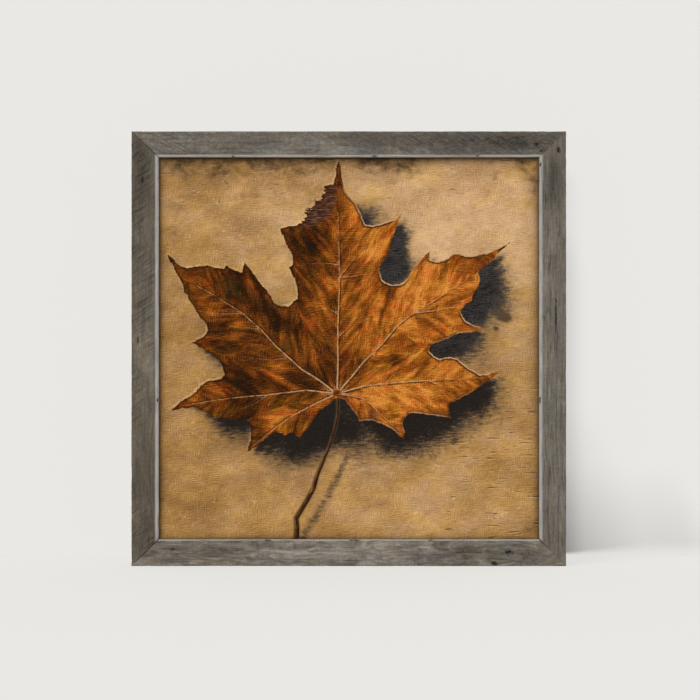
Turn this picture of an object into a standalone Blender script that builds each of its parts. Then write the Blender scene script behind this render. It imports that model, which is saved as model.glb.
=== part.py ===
"""A framed canvas print, 20 inches square outside, standing upright with its picture facing -Y.

Four mitred and rabbeted rails of weathered wood hold a canvas stretched over four pine bars.
V-nails pin the mitres from the back, staples hold the canvas to its bars, offset clips with
screws hold the stretched canvas in the rabbet, and a sawtooth hanger and two bumpers face the wall.

X runs to the right as the picture is looked at, Y runs from the picture to the wall, Z is up.
The origin is at the middle of the outer box, on the surface that the frame stands on.
"""

import math

import bmesh
import bpy

MM = 0.001
GAP = 0.3 * MM  # air left between pieces that touch

# Frame
FRAME_SIDE = 508.0 * MM
RAIL_DEPTH = 31.75 * MM
RAIL_WIDTH = {"bottom": 31.2 * MM, "right": 31.5 * MM, "top": 30.2 * MM, "left": 31.9 * MM}
INNER_ROUND = {"bottom": 1.8 * MM, "right": 4.4 * MM, "top": 3.2 * MM, "left": 4.8 * MM}
OUTER_ROUND = 1.2 * MM
LIP = 6.35 * MM  # thickness of the rabbet's front lip
RABBET = 8.0 * MM  # how far the rabbet is cut into the rail's width
MITRE_GAP = 0.2 * MM  # from each end of a side to its mitre's true line

# Canvas and stretcher
CANVAS_SIDE = 457.2 * MM
SHEET = 0.6 * MM
FLAP = 28.0 * MM  # width of canvas folded onto the back of the bars
BAR_DEPTH = 19.05 * MM
BAR_WIDTH = 38.0 * MM
BAR_BEAD = 7.0 * MM  # width of the bar's raised outer edge, which alone touches the canvas
BAR_RELIEF = 2.0 * MM  # how far the rest of the bar's front falls away

# V-nails
V_LEG = 6.0 * MM
V_THICK = 0.8 * MM
V_HEIGHT = 10.0 * MM
V_PLACES = {"outer": 0.28, "inner": 0.52}  # along the mitre, as a share of its length
BAR_V_PLACE = 0.45

# Staples
STAPLE_CROWN = 12.0 * MM
STAPLE_LEG = 6.0 * MM
STAPLE_WIRE = 0.8 * MM
STAPLE_INSET = 17.0 * MM  # from the canvas edge
STAPLE_PLACES = (-165.0 * MM, -55.0 * MM, 55.0 * MM, 165.0 * MM)

# Clips and their screws
CLIP_PLACES = (-110.0 * MM, 110.0 * MM)
CLIP_WIDTH = 12.0 * MM
CLIP_THICK = 1.2 * MM
CLIP_FOOT = 17.0 * MM  # on the rail
CLIP_TOE = 11.0 * MM  # on the canvas flap
CLIP_STEP = 3.0 * MM  # run of the slope between foot and toe
CLIP_BEND = 0.4 * MM  # from the rabbet's wall to where the slope starts
SCREW_INSET = 9.0 * MM  # from the rabbet's wall
SCREW_SHANK = 1.6 * MM
SCREW_HEAD = 3.4 * MM
SCREW_HEAD_HEIGHT = 1.7 * MM
SCREW_LENGTH = 12.0 * MM
SLOT_WIDTH = 0.9 * MM
SLOT_DEPTH = 0.9 * MM
ROUND_SIDES = 24

# Sawtooth hanger and its nails
HANGER_LENGTH = 46.0 * MM
HANGER_HEIGHT = 9.0 * MM
HANGER_THICK = 0.8 * MM
HANGER_RISE = 1.8 * MM  # how far the toothed middle stands off the wood
HANGER_TAB = 8.0 * MM  # length of each nailed end
HANGER_RAMP = 2.5 * MM
HANGER_INSET = 8.0 * MM  # from the frame's top edge to the plate's top edge
TEETH = 11
TOOTH_DEPTH = 2.0 * MM
NAIL_SHANK = 0.75 * MM
NAIL_HEAD = 1.7 * MM
NAIL_HEAD_HEIGHT = 0.5 * MM
NAIL_LENGTH = 11.0 * MM

# Bumpers
BUMPER_RADIUS = 5.5 * MM
BUMPER_HEIGHT = 4.0 * MM
BUMPER_WALL = 1.2 * MM  # height of its straight side, under the dome
BUMPER_INSET = 12.0 * MM  # from the frame's two lower outer edges
BUMPER_RINGS = 5

# Depths, from front to back
FRONT = -(RAIL_DEPTH + GAP + BUMPER_HEIGHT) / 2
RAIL_BACK = FRONT + RAIL_DEPTH
SHEET_FRONT = FRONT + LIP + GAP
BAR_FRONT = SHEET_FRONT + SHEET + GAP
BAR_BACK = BAR_FRONT + BAR_DEPTH
FLAP_BACK = BAR_BACK + GAP + SHEET

# The four sides in order round the frame, and the turn about Y that brings the bottom side onto each
RING = ("bottom", "right", "top", "left")
TURN = {"bottom": 0.0, "right": -90.0, "top": 180.0, "left": 90.0}
FRAME_CENTRE = FRAME_SIDE / 2
OPENING_CENTRE_X = (RAIL_WIDTH["left"] - RAIL_WIDTH["right"]) / 2
OPENING_CENTRE_Z = (RAIL_WIDTH["bottom"] + FRAME_SIDE - RAIL_WIDTH["top"]) / 2

COLOURS = {  # name: (colour, roughness, metallic)
    "weathered_wood": ((0.23, 0.20, 0.175, 1), 0.85, 0.0),
    "pine": ((0.62, 0.46, 0.28, 1), 0.7, 0.0),
    "canvas": ((0.55, 0.38, 0.17, 1), 0.8, 0.0),
    "zinc_steel": ((0.55, 0.56, 0.58, 1), 0.4, 1.0),
    "rubber": ((0.05, 0.05, 0.05, 1), 0.8, 0.0),
}


def clear_scene():
    for obj in list(bpy.data.objects):
        bpy.data.objects.remove(obj)


def material(name):
    """The named material, made on first use."""
    found = bpy.data.materials.get(name)
    if found:
        return found
    colour, roughness, metallic = COLOURS[name]
    made = bpy.data.materials.new(name)
    made.use_nodes = True
    shader = made.node_tree.nodes["Principled BSDF"]
    shader.inputs["Base Color"].default_value = colour
    shader.inputs["Roughness"].default_value = roughness
    shader.inputs["Metallic"].default_value = metallic
    return made


def centre(name, x, z, turn):
    """An empty that side pieces are parented to, turned about Y."""
    made = bpy.data.objects.new(name, None)
    bpy.context.scene.collection.objects.link(made)
    made.location = (x, 0, z)
    made.rotation_euler = (0, math.radians(turn), 0)
    return made


def solid(name, points, faces, finish, parent=None):
    """An object from points and faces, with its faces turned outwards."""
    body = bmesh.new()
    corners = [body.verts.new(point) for point in points]
    for face in faces:
        body.faces.new([corners[i] for i in face])
    bmesh.ops.recalc_face_normals(body, faces=body.faces)
    mesh = bpy.data.meshes.new(name)
    body.to_mesh(mesh)
    body.free()
    obj = bpy.data.objects.new(name, mesh)
    bpy.context.scene.collection.objects.link(obj)
    mesh.materials.append(material(finish))
    obj.parent = parent
    return obj


def loft(name, loops, finish, parent=None):
    """Closed loops of equal length joined in order, with the first and last filled."""
    count = len(loops[0])
    points = [point for loop in loops for point in loop]
    faces = [tuple(range(count))]
    for k in range(len(loops) - 1):
        for i in range(count):
            j = (i + 1) % count
            faces.append((k * count + i, k * count + j, (k + 1) * count + j, (k + 1) * count + i))
    faces.append(tuple(range((len(loops) - 1) * count, len(loops) * count)))
    return solid(name, points, faces, finish, parent)


def cutter(obj):
    """Marks a helper that only cuts other pieces."""
    obj.hide_render = True
    obj.display_type = "WIRE"
    return obj


def cut(obj, *helpers):
    for helper in helpers:
        hole = obj.modifiers.new(helper.name, "BOOLEAN")
        hole.operation = "DIFFERENCE"
        hole.solver = "EXACT"
        hole.object = helper


def neighbours(side):
    """The sides at this one's -X and +X ends, seen with this side at the bottom."""
    k = RING.index(side)
    return RING[k - 1], RING[(k + 1) % 4]


def mitred_prism(name, profile, length, slopes, gap, finish, parent):
    """A bar along X with its outer edge at z = -length / 2. The profile holds (inward, back) points,
    and each slope is how far its end runs in for each unit inward."""
    ends = []
    for sign, slope in zip((-1, 1), slopes):
        ends.append([
            (sign * (length / 2 - gap - inward * slope), back, inward - length / 2)
            for inward, back in profile
        ])
    return loft(name, ends, finish, parent)


def quarter_round(width, depth, steps):
    """Points of a quarter ellipse that starts flat and ends upright."""
    angles = [math.pi / 2 * k / steps for k in range(steps + 1)]
    return [(width * math.sin(a), depth * (1 - math.cos(a))) for a in angles]


def rail_profile(side):
    """(inward, back) points of a rail: rounded arrises in front, the rabbet behind."""
    width, inner = RAIL_WIDTH[side], INNER_ROUND[side]
    outer = quarter_round(OUTER_ROUND, OUTER_ROUND, 3)
    points = [(OUTER_ROUND - run, FRONT + fall) for run, fall in reversed(outer)]
    points += [(width - inner + run, FRONT + fall) for run, fall in quarter_round(inner, 0.7 * inner, 4)]
    points += [(width, FRONT + LIP), (width - RABBET, FRONT + LIP)]
    points += [(width - RABBET, RAIL_BACK), (0, RAIL_BACK)]
    return points


def frame_rail(side, parent):
    slopes = [RAIL_WIDTH[other] / RAIL_WIDTH[side] for other in neighbours(side)]
    return mitred_prism(
        "frame_rail_" + side, rail_profile(side), FRAME_SIDE, slopes, MITRE_GAP, "weathered_wood", parent
    )


def bar_profile():
    """(inward, back) points of a stretcher bar: a raised outer bead, then a front that falls away."""
    return [
        (0, BAR_FRONT),
        (BAR_BEAD, BAR_FRONT),
        (BAR_WIDTH, BAR_FRONT + BAR_RELIEF),
        (BAR_WIDTH, BAR_BACK),
        (0, BAR_BACK),
    ]


def stretcher_bar(side, parent):
    length = CANVAS_SIDE - 2 * (SHEET + GAP)
    return mitred_prism("stretcher_bar_" + side, bar_profile(), length, (1, 1), MITRE_GAP, "pine", parent)


def square_loop(half, y):
    return [(-half, y, -half), (half, y, -half), (half, y, half), (-half, y, half)]


def canvas_sheet(parent):
    """The canvas: a flat front, four wrapped edges and four flaps on the back of the bars."""
    outside = CANVAS_SIDE / 2
    inside = outside - SHEET
    opening = outside - FLAP
    loops = [
        square_loop(outside, SHEET_FRONT),
        square_loop(outside, FLAP_BACK),
        square_loop(opening, FLAP_BACK),
        square_loop(opening, FLAP_BACK - SHEET),
        square_loop(inside, FLAP_BACK - SHEET),
        square_loop(inside, SHEET_FRONT + SHEET),
    ]
    return loft("canvas", loops, "canvas", parent)


def v_shape(name, at, back, height, grow, parent):
    """A V of two legs along +X and +Z from its spine at (x, z), driven in from back."""
    x, z = at
    near, far = V_THICK / 2 + grow, V_LEG + grow
    outline = [
        (x - near, z - near),
        (x + far, z - near),
        (x + far, z + near),
        (x + near, z + near),
        (x + near, z + far),
        (x - near, z + far),
    ]
    loops = [[(px, y, pz) for px, pz in outline] for y in (back - height, back)]
    return loft(name, loops, "zinc_steel", parent)


def v_nail(name, at, back, parent):
    """(V-nail, its pocket's cutter), a little below the surface at back."""
    sunk = back - GAP
    nail = v_shape(name, at, sunk, V_HEIGHT, 0, parent)
    pocket = cutter(v_shape(name + "_pocket", at, sunk + 2 * GAP, V_HEIGHT + 3 * GAP, GAP, parent))
    return nail, pocket


def box(name, low, high, finish, parent):
    (x0, y0, z0), (x1, y1, z1) = low, high
    loops = [[(x0, y, z0), (x1, y, z0), (x1, y, z1), (x0, y, z1)] for y in (y0, y1)]
    return loft(name, loops, finish, parent)


def staple(name, x, z, parent):
    """(staple, cutters for its two legs): the crown lies on the flap, the legs go into the bar."""
    half, wire = STAPLE_CROWN / 2, STAPLE_WIRE
    top = FLAP_BACK + GAP + wire
    under, tip = top - wire, top - STAPLE_LEG
    outline = [
        (-half, tip),
        (-half + wire, tip),
        (-half + wire, under),
        (half - wire, under),
        (half - wire, tip),
        (half, tip),
        (half, top),
        (-half, top),
    ]
    loops = [[(x + px, y, pz) for px, y in outline] for pz in (z - wire / 2, z + wire / 2)]
    legs = []
    for sign in (-1, 1):
        inner, outer = sorted((sign * (half - wire - GAP), sign * (half + GAP)))
        low = (x + inner, tip - GAP, z - wire / 2 - GAP)
        high = (x + outer, top, z + wire / 2 + GAP)
        legs.append(cutter(box(f"{name}_hole_{'a' if sign < 0 else 'b'}", low, high, "zinc_steel", parent)))
    return loft(name, loops, "zinc_steel", parent), legs


def turned(name, profile, at, finish, parent):
    """A solid of revolution about the line along Y through (x, z). The profile holds (radius, y) points
    with both ends on the axis."""
    x, z = at
    angles = [2 * math.pi * k / ROUND_SIDES for k in range(ROUND_SIDES)]
    rings = [
        [(x + radius * math.cos(a), y, z + radius * math.sin(a)) for a in angles]
        for radius, y in profile[1:-1]
    ]
    points = [point for ring in rings for point in ring]
    points += [(x, profile[0][1], z), (x, profile[-1][1], z)]
    first, last, count = len(points) - 2, len(points) - 1, ROUND_SIDES
    faces = []
    for i in range(count):
        j = (i + 1) % count
        faces.append((first, i, j))
        for k in range(len(rings) - 1):
            faces.append((k * count + i, k * count + j, (k + 1) * count + j, (k + 1) * count + i))
        faces.append((last, (len(rings) - 1) * count + i, (len(rings) - 1) * count + j))
    return solid(name, points, faces, finish, parent)


def pin(name, at, under_head, shank, head, head_height, length, finish, parent):
    """A headed pin driven towards -Y, its head's underside at under_head."""
    tip, top = under_head - length, under_head + head_height
    profile = [
        (0, tip),
        (0.35 * shank, tip + shank),
        (shank, tip + 3 * shank),
        (shank, under_head),
        (head, under_head),
        (head, under_head + 0.45 * head_height),
        (0.62 * head, top),
        (0, top),
    ]
    return turned(name, profile, at, finish, parent)


def pilot_hole(name, at, back, shank, length, parent):
    """A cutter for the hole that a pin's shank goes down."""
    radius, bottom, top = shank + GAP, back - length - GAP, back + 2 * GAP
    profile = [(0, bottom), (radius, bottom), (radius, top), (0, top)]
    return cutter(turned(name, profile, at, "zinc_steel", parent))


def canvas_clip(name, x, wall, parent):
    """A stepped strip: its foot lies on the rail, its toe presses on the canvas flap.
    wall is the z of the rabbet's wall, with this side at the bottom."""
    foot, toe = RAIL_BACK + GAP, FLAP_BACK + GAP
    start, bend, end = wall - CLIP_FOOT, wall + CLIP_BEND, wall + CLIP_STEP + CLIP_TOE
    outline = [
        (start, foot),
        (bend, foot),
        (bend + CLIP_STEP, toe),
        (end, toe),
        (end, toe + CLIP_THICK),
        (bend + CLIP_STEP + 0.5 * CLIP_THICK, toe + CLIP_THICK),
        (bend + 0.5 * CLIP_THICK, foot + CLIP_THICK),
        (start, foot + CLIP_THICK),
    ]
    loops = [[(px, y, z) for z, y in outline] for px in (x - CLIP_WIDTH / 2, x + CLIP_WIDTH / 2)]
    return loft(name, loops, "zinc_steel", parent)


def clip_and_screw(label, x, wall, rail, parent):
    at = (x, wall - SCREW_INSET)
    clip = canvas_clip("canvas_clip_" + label, x, wall, parent)
    under_head = RAIL_BACK + 2 * GAP + CLIP_THICK
    screw = pin(
        "clip_screw_" + label, at, under_head, SCREW_SHANK, SCREW_HEAD, SCREW_HEAD_HEIGHT,
        SCREW_LENGTH, "zinc_steel", parent,
    )
    top = under_head + SCREW_HEAD_HEIGHT
    slot = box(
        "drive_slot_" + label,
        (at[0] - SLOT_WIDTH / 2, top - SLOT_DEPTH, at[1] - 2 * SCREW_HEAD),
        (at[0] + SLOT_WIDTH / 2, top + SLOT_DEPTH, at[1] + 2 * SCREW_HEAD),
        "zinc_steel", parent,
    )
    cut(screw, cutter(slot))
    hole = pilot_hole("screw_hole_" + label, at, under_head, SCREW_SHANK, SCREW_LENGTH, parent)
    cut(clip, hole)
    cut(rail, hole)


def hanger_stations():
    """(x, rise, lower edge) along the plate, from its left end to its right end."""
    half = HANGER_LENGTH / 2
    toothed = half - HANGER_TAB - HANGER_RAMP
    stations = [(-half, 0, 0), (-half + HANGER_TAB, 0, 0), (-toothed, HANGER_RISE, 0)]
    pitch = 2 * toothed / TEETH
    for k in range(TEETH):
        left = -toothed + k * pitch
        stations += [(left + 0.5 * pitch, HANGER_RISE, TOOTH_DEPTH), (left + pitch, HANGER_RISE, 0)]
    return stations + [(half - HANGER_TAB, 0, 0), (half, 0, 0)]


def sawtooth_hanger(rail):
    """The toothed plate on the back of the top rail, with a nail at each end."""
    upper = FRAME_SIDE - HANGER_INSET
    lower = upper - HANGER_HEIGHT
    loops = []
    for x, rise, tooth in hanger_stations():
        near = RAIL_BACK + GAP + rise
        far = near + HANGER_THICK
        loops.append([(x, near, lower + tooth), (x, far, lower + tooth), (x, far, upper), (x, near, upper)])
    plate = loft("sawtooth_hanger", loops, "zinc_steel")
    for label, sign in (("left", -1), ("right", 1)):
        at = (sign * (HANGER_LENGTH - HANGER_TAB) / 2, (upper + lower) / 2)
        under_head = RAIL_BACK + 2 * GAP + HANGER_THICK
        pin(
            "hanger_nail_" + label, at, under_head, NAIL_SHANK, NAIL_HEAD, NAIL_HEAD_HEIGHT,
            NAIL_LENGTH, "zinc_steel", None,
        )
        hole = pilot_hole("nail_hole_" + label, at, under_head, NAIL_SHANK, NAIL_LENGTH, None)
        cut(plate, hole)
        cut(rail, hole)


def bumper(label, x):
    """A domed pad stuck on the back, near a lower corner."""
    base = RAIL_BACK + GAP
    crown = BUMPER_HEIGHT - BUMPER_WALL
    angles = [math.pi / 2 * k / BUMPER_RINGS for k in range(BUMPER_RINGS)]
    dome = [(BUMPER_RADIUS * math.cos(a), base + BUMPER_WALL + crown * math.sin(a)) for a in angles]
    profile = [(0, base), (BUMPER_RADIUS, base), *dome, (0, base + BUMPER_HEIGHT)]
    turned("bumper_" + label, profile, (x, BUMPER_INSET), "rubber", None)


def build_side(side, rails, bars):
    """One side's rail, bar, clips and staples, all made as the bottom side and turned into place."""
    frame = centre("frame_side_" + side, 0, FRAME_CENTRE, TURN[side])
    art = centre("canvas_side_" + side, OPENING_CENTRE_X, OPENING_CENTRE_Z, TURN[side])
    rails[side] = frame_rail(side, frame)
    bars[side] = stretcher_bar(side, art)
    wall = RAIL_WIDTH[side] - RABBET - FRAME_SIDE / 2
    for label, x in zip("ab", CLIP_PLACES):
        clip_and_screw(f"{side}_{label}", x, wall, rails[side], frame)
    holes = []
    for number, x in enumerate(STAPLE_PLACES, 1):
        _, legs = staple(f"canvas_staple_{side}_{number}", x, STAPLE_INSET - CANVAS_SIDE / 2, art)
        holes += legs
    cut(bars[side], *holes)
    return holes


def build_corner(side, rails, bars):
    """The V-nails between a side and the one before it, made at the bottom left and turned."""
    before, _ = neighbours(side)
    frame = centre("frame_corner_" + side, 0, FRAME_CENTRE, TURN[side])
    art = centre("canvas_corner_" + side, OPENING_CENTRE_X, OPENING_CENTRE_Z, TURN[side])
    corner = f"{before}_{side}"
    for place, share in V_PLACES.items():
        at = (share * RAIL_WIDTH[before] - FRAME_SIDE / 2, share * RAIL_WIDTH[side] - FRAME_SIDE / 2)
        _, pocket = v_nail(f"frame_v_nail_{corner}_{place}", at, RAIL_BACK, frame)
        cut(rails[side], pocket)
        cut(rails[before], pocket)
    reach = BAR_V_PLACE * BAR_WIDTH - CANVAS_SIDE / 2 + SHEET + GAP
    _, pocket = v_nail(f"stretcher_v_nail_{corner}", (reach, reach), BAR_BACK, art)
    cut(bars[side], pocket)
    cut(bars[before], pocket)


def main():
    clear_scene()
    rails, bars, staple_holes = {}, {}, []
    for side in RING:
        staple_holes += build_side(side, rails, bars)
    for side in RING:
        build_corner(side, rails, bars)
    art = centre("canvas_centre", OPENING_CENTRE_X, OPENING_CENTRE_Z, 0)
    cut(canvas_sheet(art), *staple_holes)
    sawtooth_hanger(rails["top"])
    reach = FRAME_SIDE / 2 - BUMPER_INSET
    bumper("left", -reach)
    bumper("right", reach)


main()
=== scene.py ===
"""Finishes a framed canvas print: weathered wooden rails round a canvas with a painted autumn leaf.

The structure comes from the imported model. This script makes the worn surface of the rails, the
wrapped canvas with its paint, the finish of the bars and fastenings on the back, and the stage.
"""

import math

import bmesh
import bpy
import numpy as np
from bpy.props import FloatProperty, FloatVectorProperty, PointerProperty
from bpy.types import Operator, Panel, PropertyGroup
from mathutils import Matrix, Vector


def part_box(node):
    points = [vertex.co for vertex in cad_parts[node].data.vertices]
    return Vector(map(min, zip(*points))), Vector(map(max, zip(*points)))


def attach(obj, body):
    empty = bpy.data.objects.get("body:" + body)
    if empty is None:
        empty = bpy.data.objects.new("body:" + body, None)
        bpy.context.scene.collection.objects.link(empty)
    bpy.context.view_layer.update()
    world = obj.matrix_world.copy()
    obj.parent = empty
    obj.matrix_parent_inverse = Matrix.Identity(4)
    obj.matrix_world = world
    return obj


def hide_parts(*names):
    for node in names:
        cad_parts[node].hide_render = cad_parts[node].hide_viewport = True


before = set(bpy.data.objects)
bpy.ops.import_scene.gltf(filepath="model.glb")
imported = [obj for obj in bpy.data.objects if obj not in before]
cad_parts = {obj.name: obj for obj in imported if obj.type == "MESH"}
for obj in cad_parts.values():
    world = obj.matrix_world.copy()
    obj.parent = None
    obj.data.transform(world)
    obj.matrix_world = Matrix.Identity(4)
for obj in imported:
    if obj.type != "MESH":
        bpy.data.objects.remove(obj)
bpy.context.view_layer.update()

bl_info = {
    "name": "Framed Canvas Print",
    "version": (1, 0, 0),
    "blender": (4, 5, 0),
    "location": "3D View > Sidebar > Framed Print",
    "description": "Weathered frame rails, a painted canvas and the fittings behind it",
    "category": "Object",
}

MM = 0.001

# The frame's own measures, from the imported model
RING = ("bottom", "right", "top", "left")
RAIL_BOX = {side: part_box("frame_rail_" + side) for side in RING}
CANVAS_LOW, CANVAS_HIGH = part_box("canvas")
FRAME_LOW_X, FRAME_HIGH_X = RAIL_BOX["left"][0].x, RAIL_BOX["right"][1].x
FRAME_SIDE = FRAME_HIGH_X - FRAME_LOW_X
FRAME_FRONT, RAIL_BACK = RAIL_BOX["bottom"][0].y, RAIL_BOX["bottom"][1].y
RAIL_WIDTH = {side: min(high.x - low.x, high.z - low.z) for side, (low, high) in RAIL_BOX.items()}
OPENING_LOW = Vector((RAIL_BOX["left"][1].x, FRAME_FRONT, RAIL_BOX["bottom"][1].z))
OPENING_HIGH = Vector((RAIL_BOX["right"][0].x, FRAME_FRONT, RAIL_BOX["top"][0].z))
PICTURE_CENTRE = (OPENING_LOW + OPENING_HIGH) / 2
FRAME_CENTRE_Z = (RAIL_BOX["bottom"][0].z + RAIL_BOX["top"][1].z) / 2

# Rails: the section under the worn surface
LIP = 6.35 * MM
RABBET = 8.0 * MM
OUTER_ROUND = 1.2 * MM
INNER_ROUND = {"bottom": 1.8 * MM, "right": 4.4 * MM, "top": 3.2 * MM, "left": 4.8 * MM}
INNER_DROP = 0.7  # depth of the inner round as a share of its width
DEEPEST_WEAR = 1.9 * MM
LAND_WEAR = 0.45  # how much the back of a rail wears, as a share of its face's wear
MITRE_GAP = 0.01 * MM
JOINT_DEPTH = 5.0 * MM  # how far back a mitre stands open
RAIL_STEP = 1.5 * MM  # between columns of points along a rail
FACE_STEP = 0.6 * MM  # between points across its face
TURN = {"bottom": 0, "right": -90, "top": 180, "left": 90}  # degrees about Y, from the bottom side

# What sets each rail apart. Places are (along, inward) in mm, with the rail at the bottom.
# fit: how far each end stands back from its mitre's true line, as (inward, back) steps in mm.
# patches: lighter and darker places, four times as long as they are wide.
# edge: how bright the inner edge is, pale from wear and lightened as a painted highlight.
# saw and saw_angle: how strong the saw marks are and how they lean. The other numbers are how strongly
# each kind of mark colours the wood.
RAILS = {
    "bottom": {
        "seed": 11, "tint": (1.22, 1.22, 1.21), "edge": 1.15,
        "fibre": 0.22, "mottle": 0.4, "smear": 1.0, "speck": 0.4, "line": 0.06,
        "saw_angle": 8, "saw": 0.2,
        "knots": [(187, 16.6, 2.0), (170, 3.2, 1.5), (-206, 20, 1.4)],
        "nicks": [(-95, 30.2, 9, 0.9), (8, 30.6, 16, 0.6), (96, 30.4, 8, 0.8)],
        "fit": ([(0, 0), (4.2, -4.2), (4.3, 0.1), (32, 0.3)], [(0, 0.1), (22, 0.1), (32, 0.5)]),
        "patches": [
            (-50, 14, 14, 0.13), (30, 20, 12, 0.11), (90, 24, 8, 0.05), (-180, 20, 12, -0.16),
            (-150, 8, 10, 0.03), (130, 12, 12, -0.06), (205, 18, 14, -0.08), (0, 2, 5, -0.1),
        ],
    },
    "right": {
        "seed": 23, "tint": (1.1, 1.1, 1.1), "edge": 1.15,
        "fibre": 0.5, "mottle": 0.3, "smear": 0.25, "speck": 0.35, "line": 0.3,
        "saw_angle": 3, "saw": 0.15,
        "knots": [(232, 9, 1.6)],
        "nicks": [(215, 30.5, 7, 0.7), (-60, 30.8, 9, 0.5), (40, 12, 60, 0.25)],
        "fit": ([(0, 0.1), (20, 0.15), (27, 1.0), (32, 1.7)], [(0, 0.1), (32, 0.1)]),
        "patches": [
            (200, 14, 11, -0.24), (120, 20, 10, 0.04), (-30, 14, 14, 0.04), (-170, 12, 16, -0.07),
            (0, 25, 5, 0.06), (-120, 25, 5, 0.06), (90, 6, 6, -0.05),
        ],
    },
    "top": {
        "seed": 37, "tint": (1.0, 1.0, 1.0), "edge": 1.35,
        "fibre": 0.14, "mottle": 0.66, "smear": 0.34, "speck": 0.55, "line": 0.0,
        "saw_angle": 60, "saw": 0.7,
        "knots": [(-219, 15.4, 1.3), (-225, 23, 1.0)],
        "nicks": [(135, 29.4, 3, 1.6), (-30, 29.2, 10, 0.5), (-150, 28.8, 7, 0.7)],
        "fit": ([(0, 0.1), (32, 0.15)], [(0, 0.3), (32, 0.5)]),
        "patches": [
            (-20, 8, 8, -0.1), (-90, 10, 9, -0.12), (-190, 12, 12, -0.24), (-140, 14, 12, -0.15),
            (90, 25, 6, 0.12), (10, 25, 6, 0.16), (-50, 25, 5, 0.1), (200, 16, 12, 0.06),
        ],
    },
    "left": {
        "seed": 59, "tint": (0.96, 0.91, 0.83), "edge": 1.42,
        "fibre": 0.2, "mottle": 0.35, "smear": 0.35, "speck": 0.4, "line": 0.05,
        "saw_angle": 34, "saw": 1.0,
        "knots": [(-197, 12.8, 1.5)],
        "nicks": [(-10, 8.0, 13, 0.5), (60, 30.6, 6, 0.6)],
        "fit": ([(0, 0.3), (32, 0.5)], [(0, 4.9), (4.9, 0), (5.0, 0.5), (32, 1.0)]),
        "patches": [
            (-215, 12, 12, -0.2), (-150, 18, 12, -0.04), (-60, 10, 12, -0.02), (20, 16, 14, 0.06),
            (100, 14, 12, -0.03), (170, 16, 18, -0.16), (-110, 3, 6, -0.1),
        ],
    },
}

# Canvas
SHEET = 0.6 * MM
PICTURE_CELLS = 280  # along each side of the painted face
FLAP = 28.0 * MM  # folded onto the back of the bars
FLAP_STEPS = 8
WRAP_ROUND = 0.9 * MM
THREAD_TURN = 2 * math.pi / (0.75 * MM)  # radians per metre across the threads
FLAP_FRAY = 0.7 * MM  # how far the flap's cut edge strays
FOLD_WIDTH = 14 * MM  # of the doubled cloth beside a corner's fold
FOLD_LAYER = 0.35 * MM
FOLD_ROLL = 0.4 * MM  # height of the rolled edge

# The leaf's outline, clockwise from its top tip: (right, up) in mm from the picture's centre
LEAF_OUTLINE = [
    (-12, 219), (-8, 196), (-5, 184), (8, 171), (15, 156), (19, 145), (29, 144), (43, 148), (62, 158),
    (57, 145), (50, 123), (45, 108), (38, 99), (36, 90), (39, 80), (48, 75), (59, 75), (68, 81),
    (76, 94), (95, 115), (95, 104), (102, 102), (112, 104), (122, 110), (133, 110), (141, 108),
    (156, 111), (171, 116), (189, 124), (177, 114), (168, 102), (151, 89), (154, 79), (151, 69),
    (145, 63), (144, 55), (136, 52), (131, 45), (133, 37), (142, 29), (161, 22), (145, 19), (130, 18),
    (118, 12), (104, 7), (95, 3), (94, -4), (104, -12), (119, -10), (128, -13), (144, -25),
    (154, -31), (178, -26), (161, -39), (140, -54), (118, -66), (117, -73), (121, -83), (109, -80),
    (93, -78), (70, -76), (64, -83), (63, -90), (66, -98), (64, -107), (52, -96), (44, -91), (31, -86),
    (21, -84), (12, -86), (9, -78), (3, -71), (-5, -60), (-14, -58), (-20, -63), (-33, -72), (-40, -81),
    (-47, -93), (-58, -105), (-65, -98), (-75, -102), (-84, -98), (-93, -102), (-108, -115),
    (-119, -121), (-115, -104), (-114, -88), (-126, -83), (-138, -84), (-146, -81), (-157, -82),
    (-166, -75), (-182, -69), (-210, -73), (-197, -62), (-186, -56), (-173, -43), (-165, -38),
    (-151, -36), (-145, -31), (-148, -23), (-152, -14), (-167, -3), (-185, 7), (-170, 14), (-165, 21),
    (-167, 29), (-175, 37), (-180, 46), (-188, 57), (-189, 63), (-193, 65), (-195, 76), (-200, 84),
    (-212, 109), (-201, 98), (-190, 94), (-167, 97), (-146, 93), (-144, 98), (-138, 93), (-125, 88),
    (-123, 101), (-115, 92), (-103, 75), (-92, 62), (-88, 53), (-82, 50), (-70, 49), (-65, 55),
    (-60, 58), (-61, 73), (-67, 88), (-71, 94), (-66, 98), (-66, 108), (-73, 121), (-81, 140),
    (-61, 144), (-54, 149), (-50, 156), (-52, 162), (-43, 164), (-40, 169), (-41, 174), (-33, 174),
    (-31, 180), (-27, 184), (-31, 190), (-18, 192), (-15, 202),
]
RIM_BLUR = 2.4  # mm that the leaf's shape is softened by before the way its edge faces is read
EDGE_STEP = 1.2  # mm between the outline's roughened points
EDGE_WANDER = 1.5  # mm that the roughened edge strays
EDGE_TOOTH = 6.0  # mm between small teeth
EDGE_CUT = 1.8  # mm that the deepest of them stand out

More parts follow.
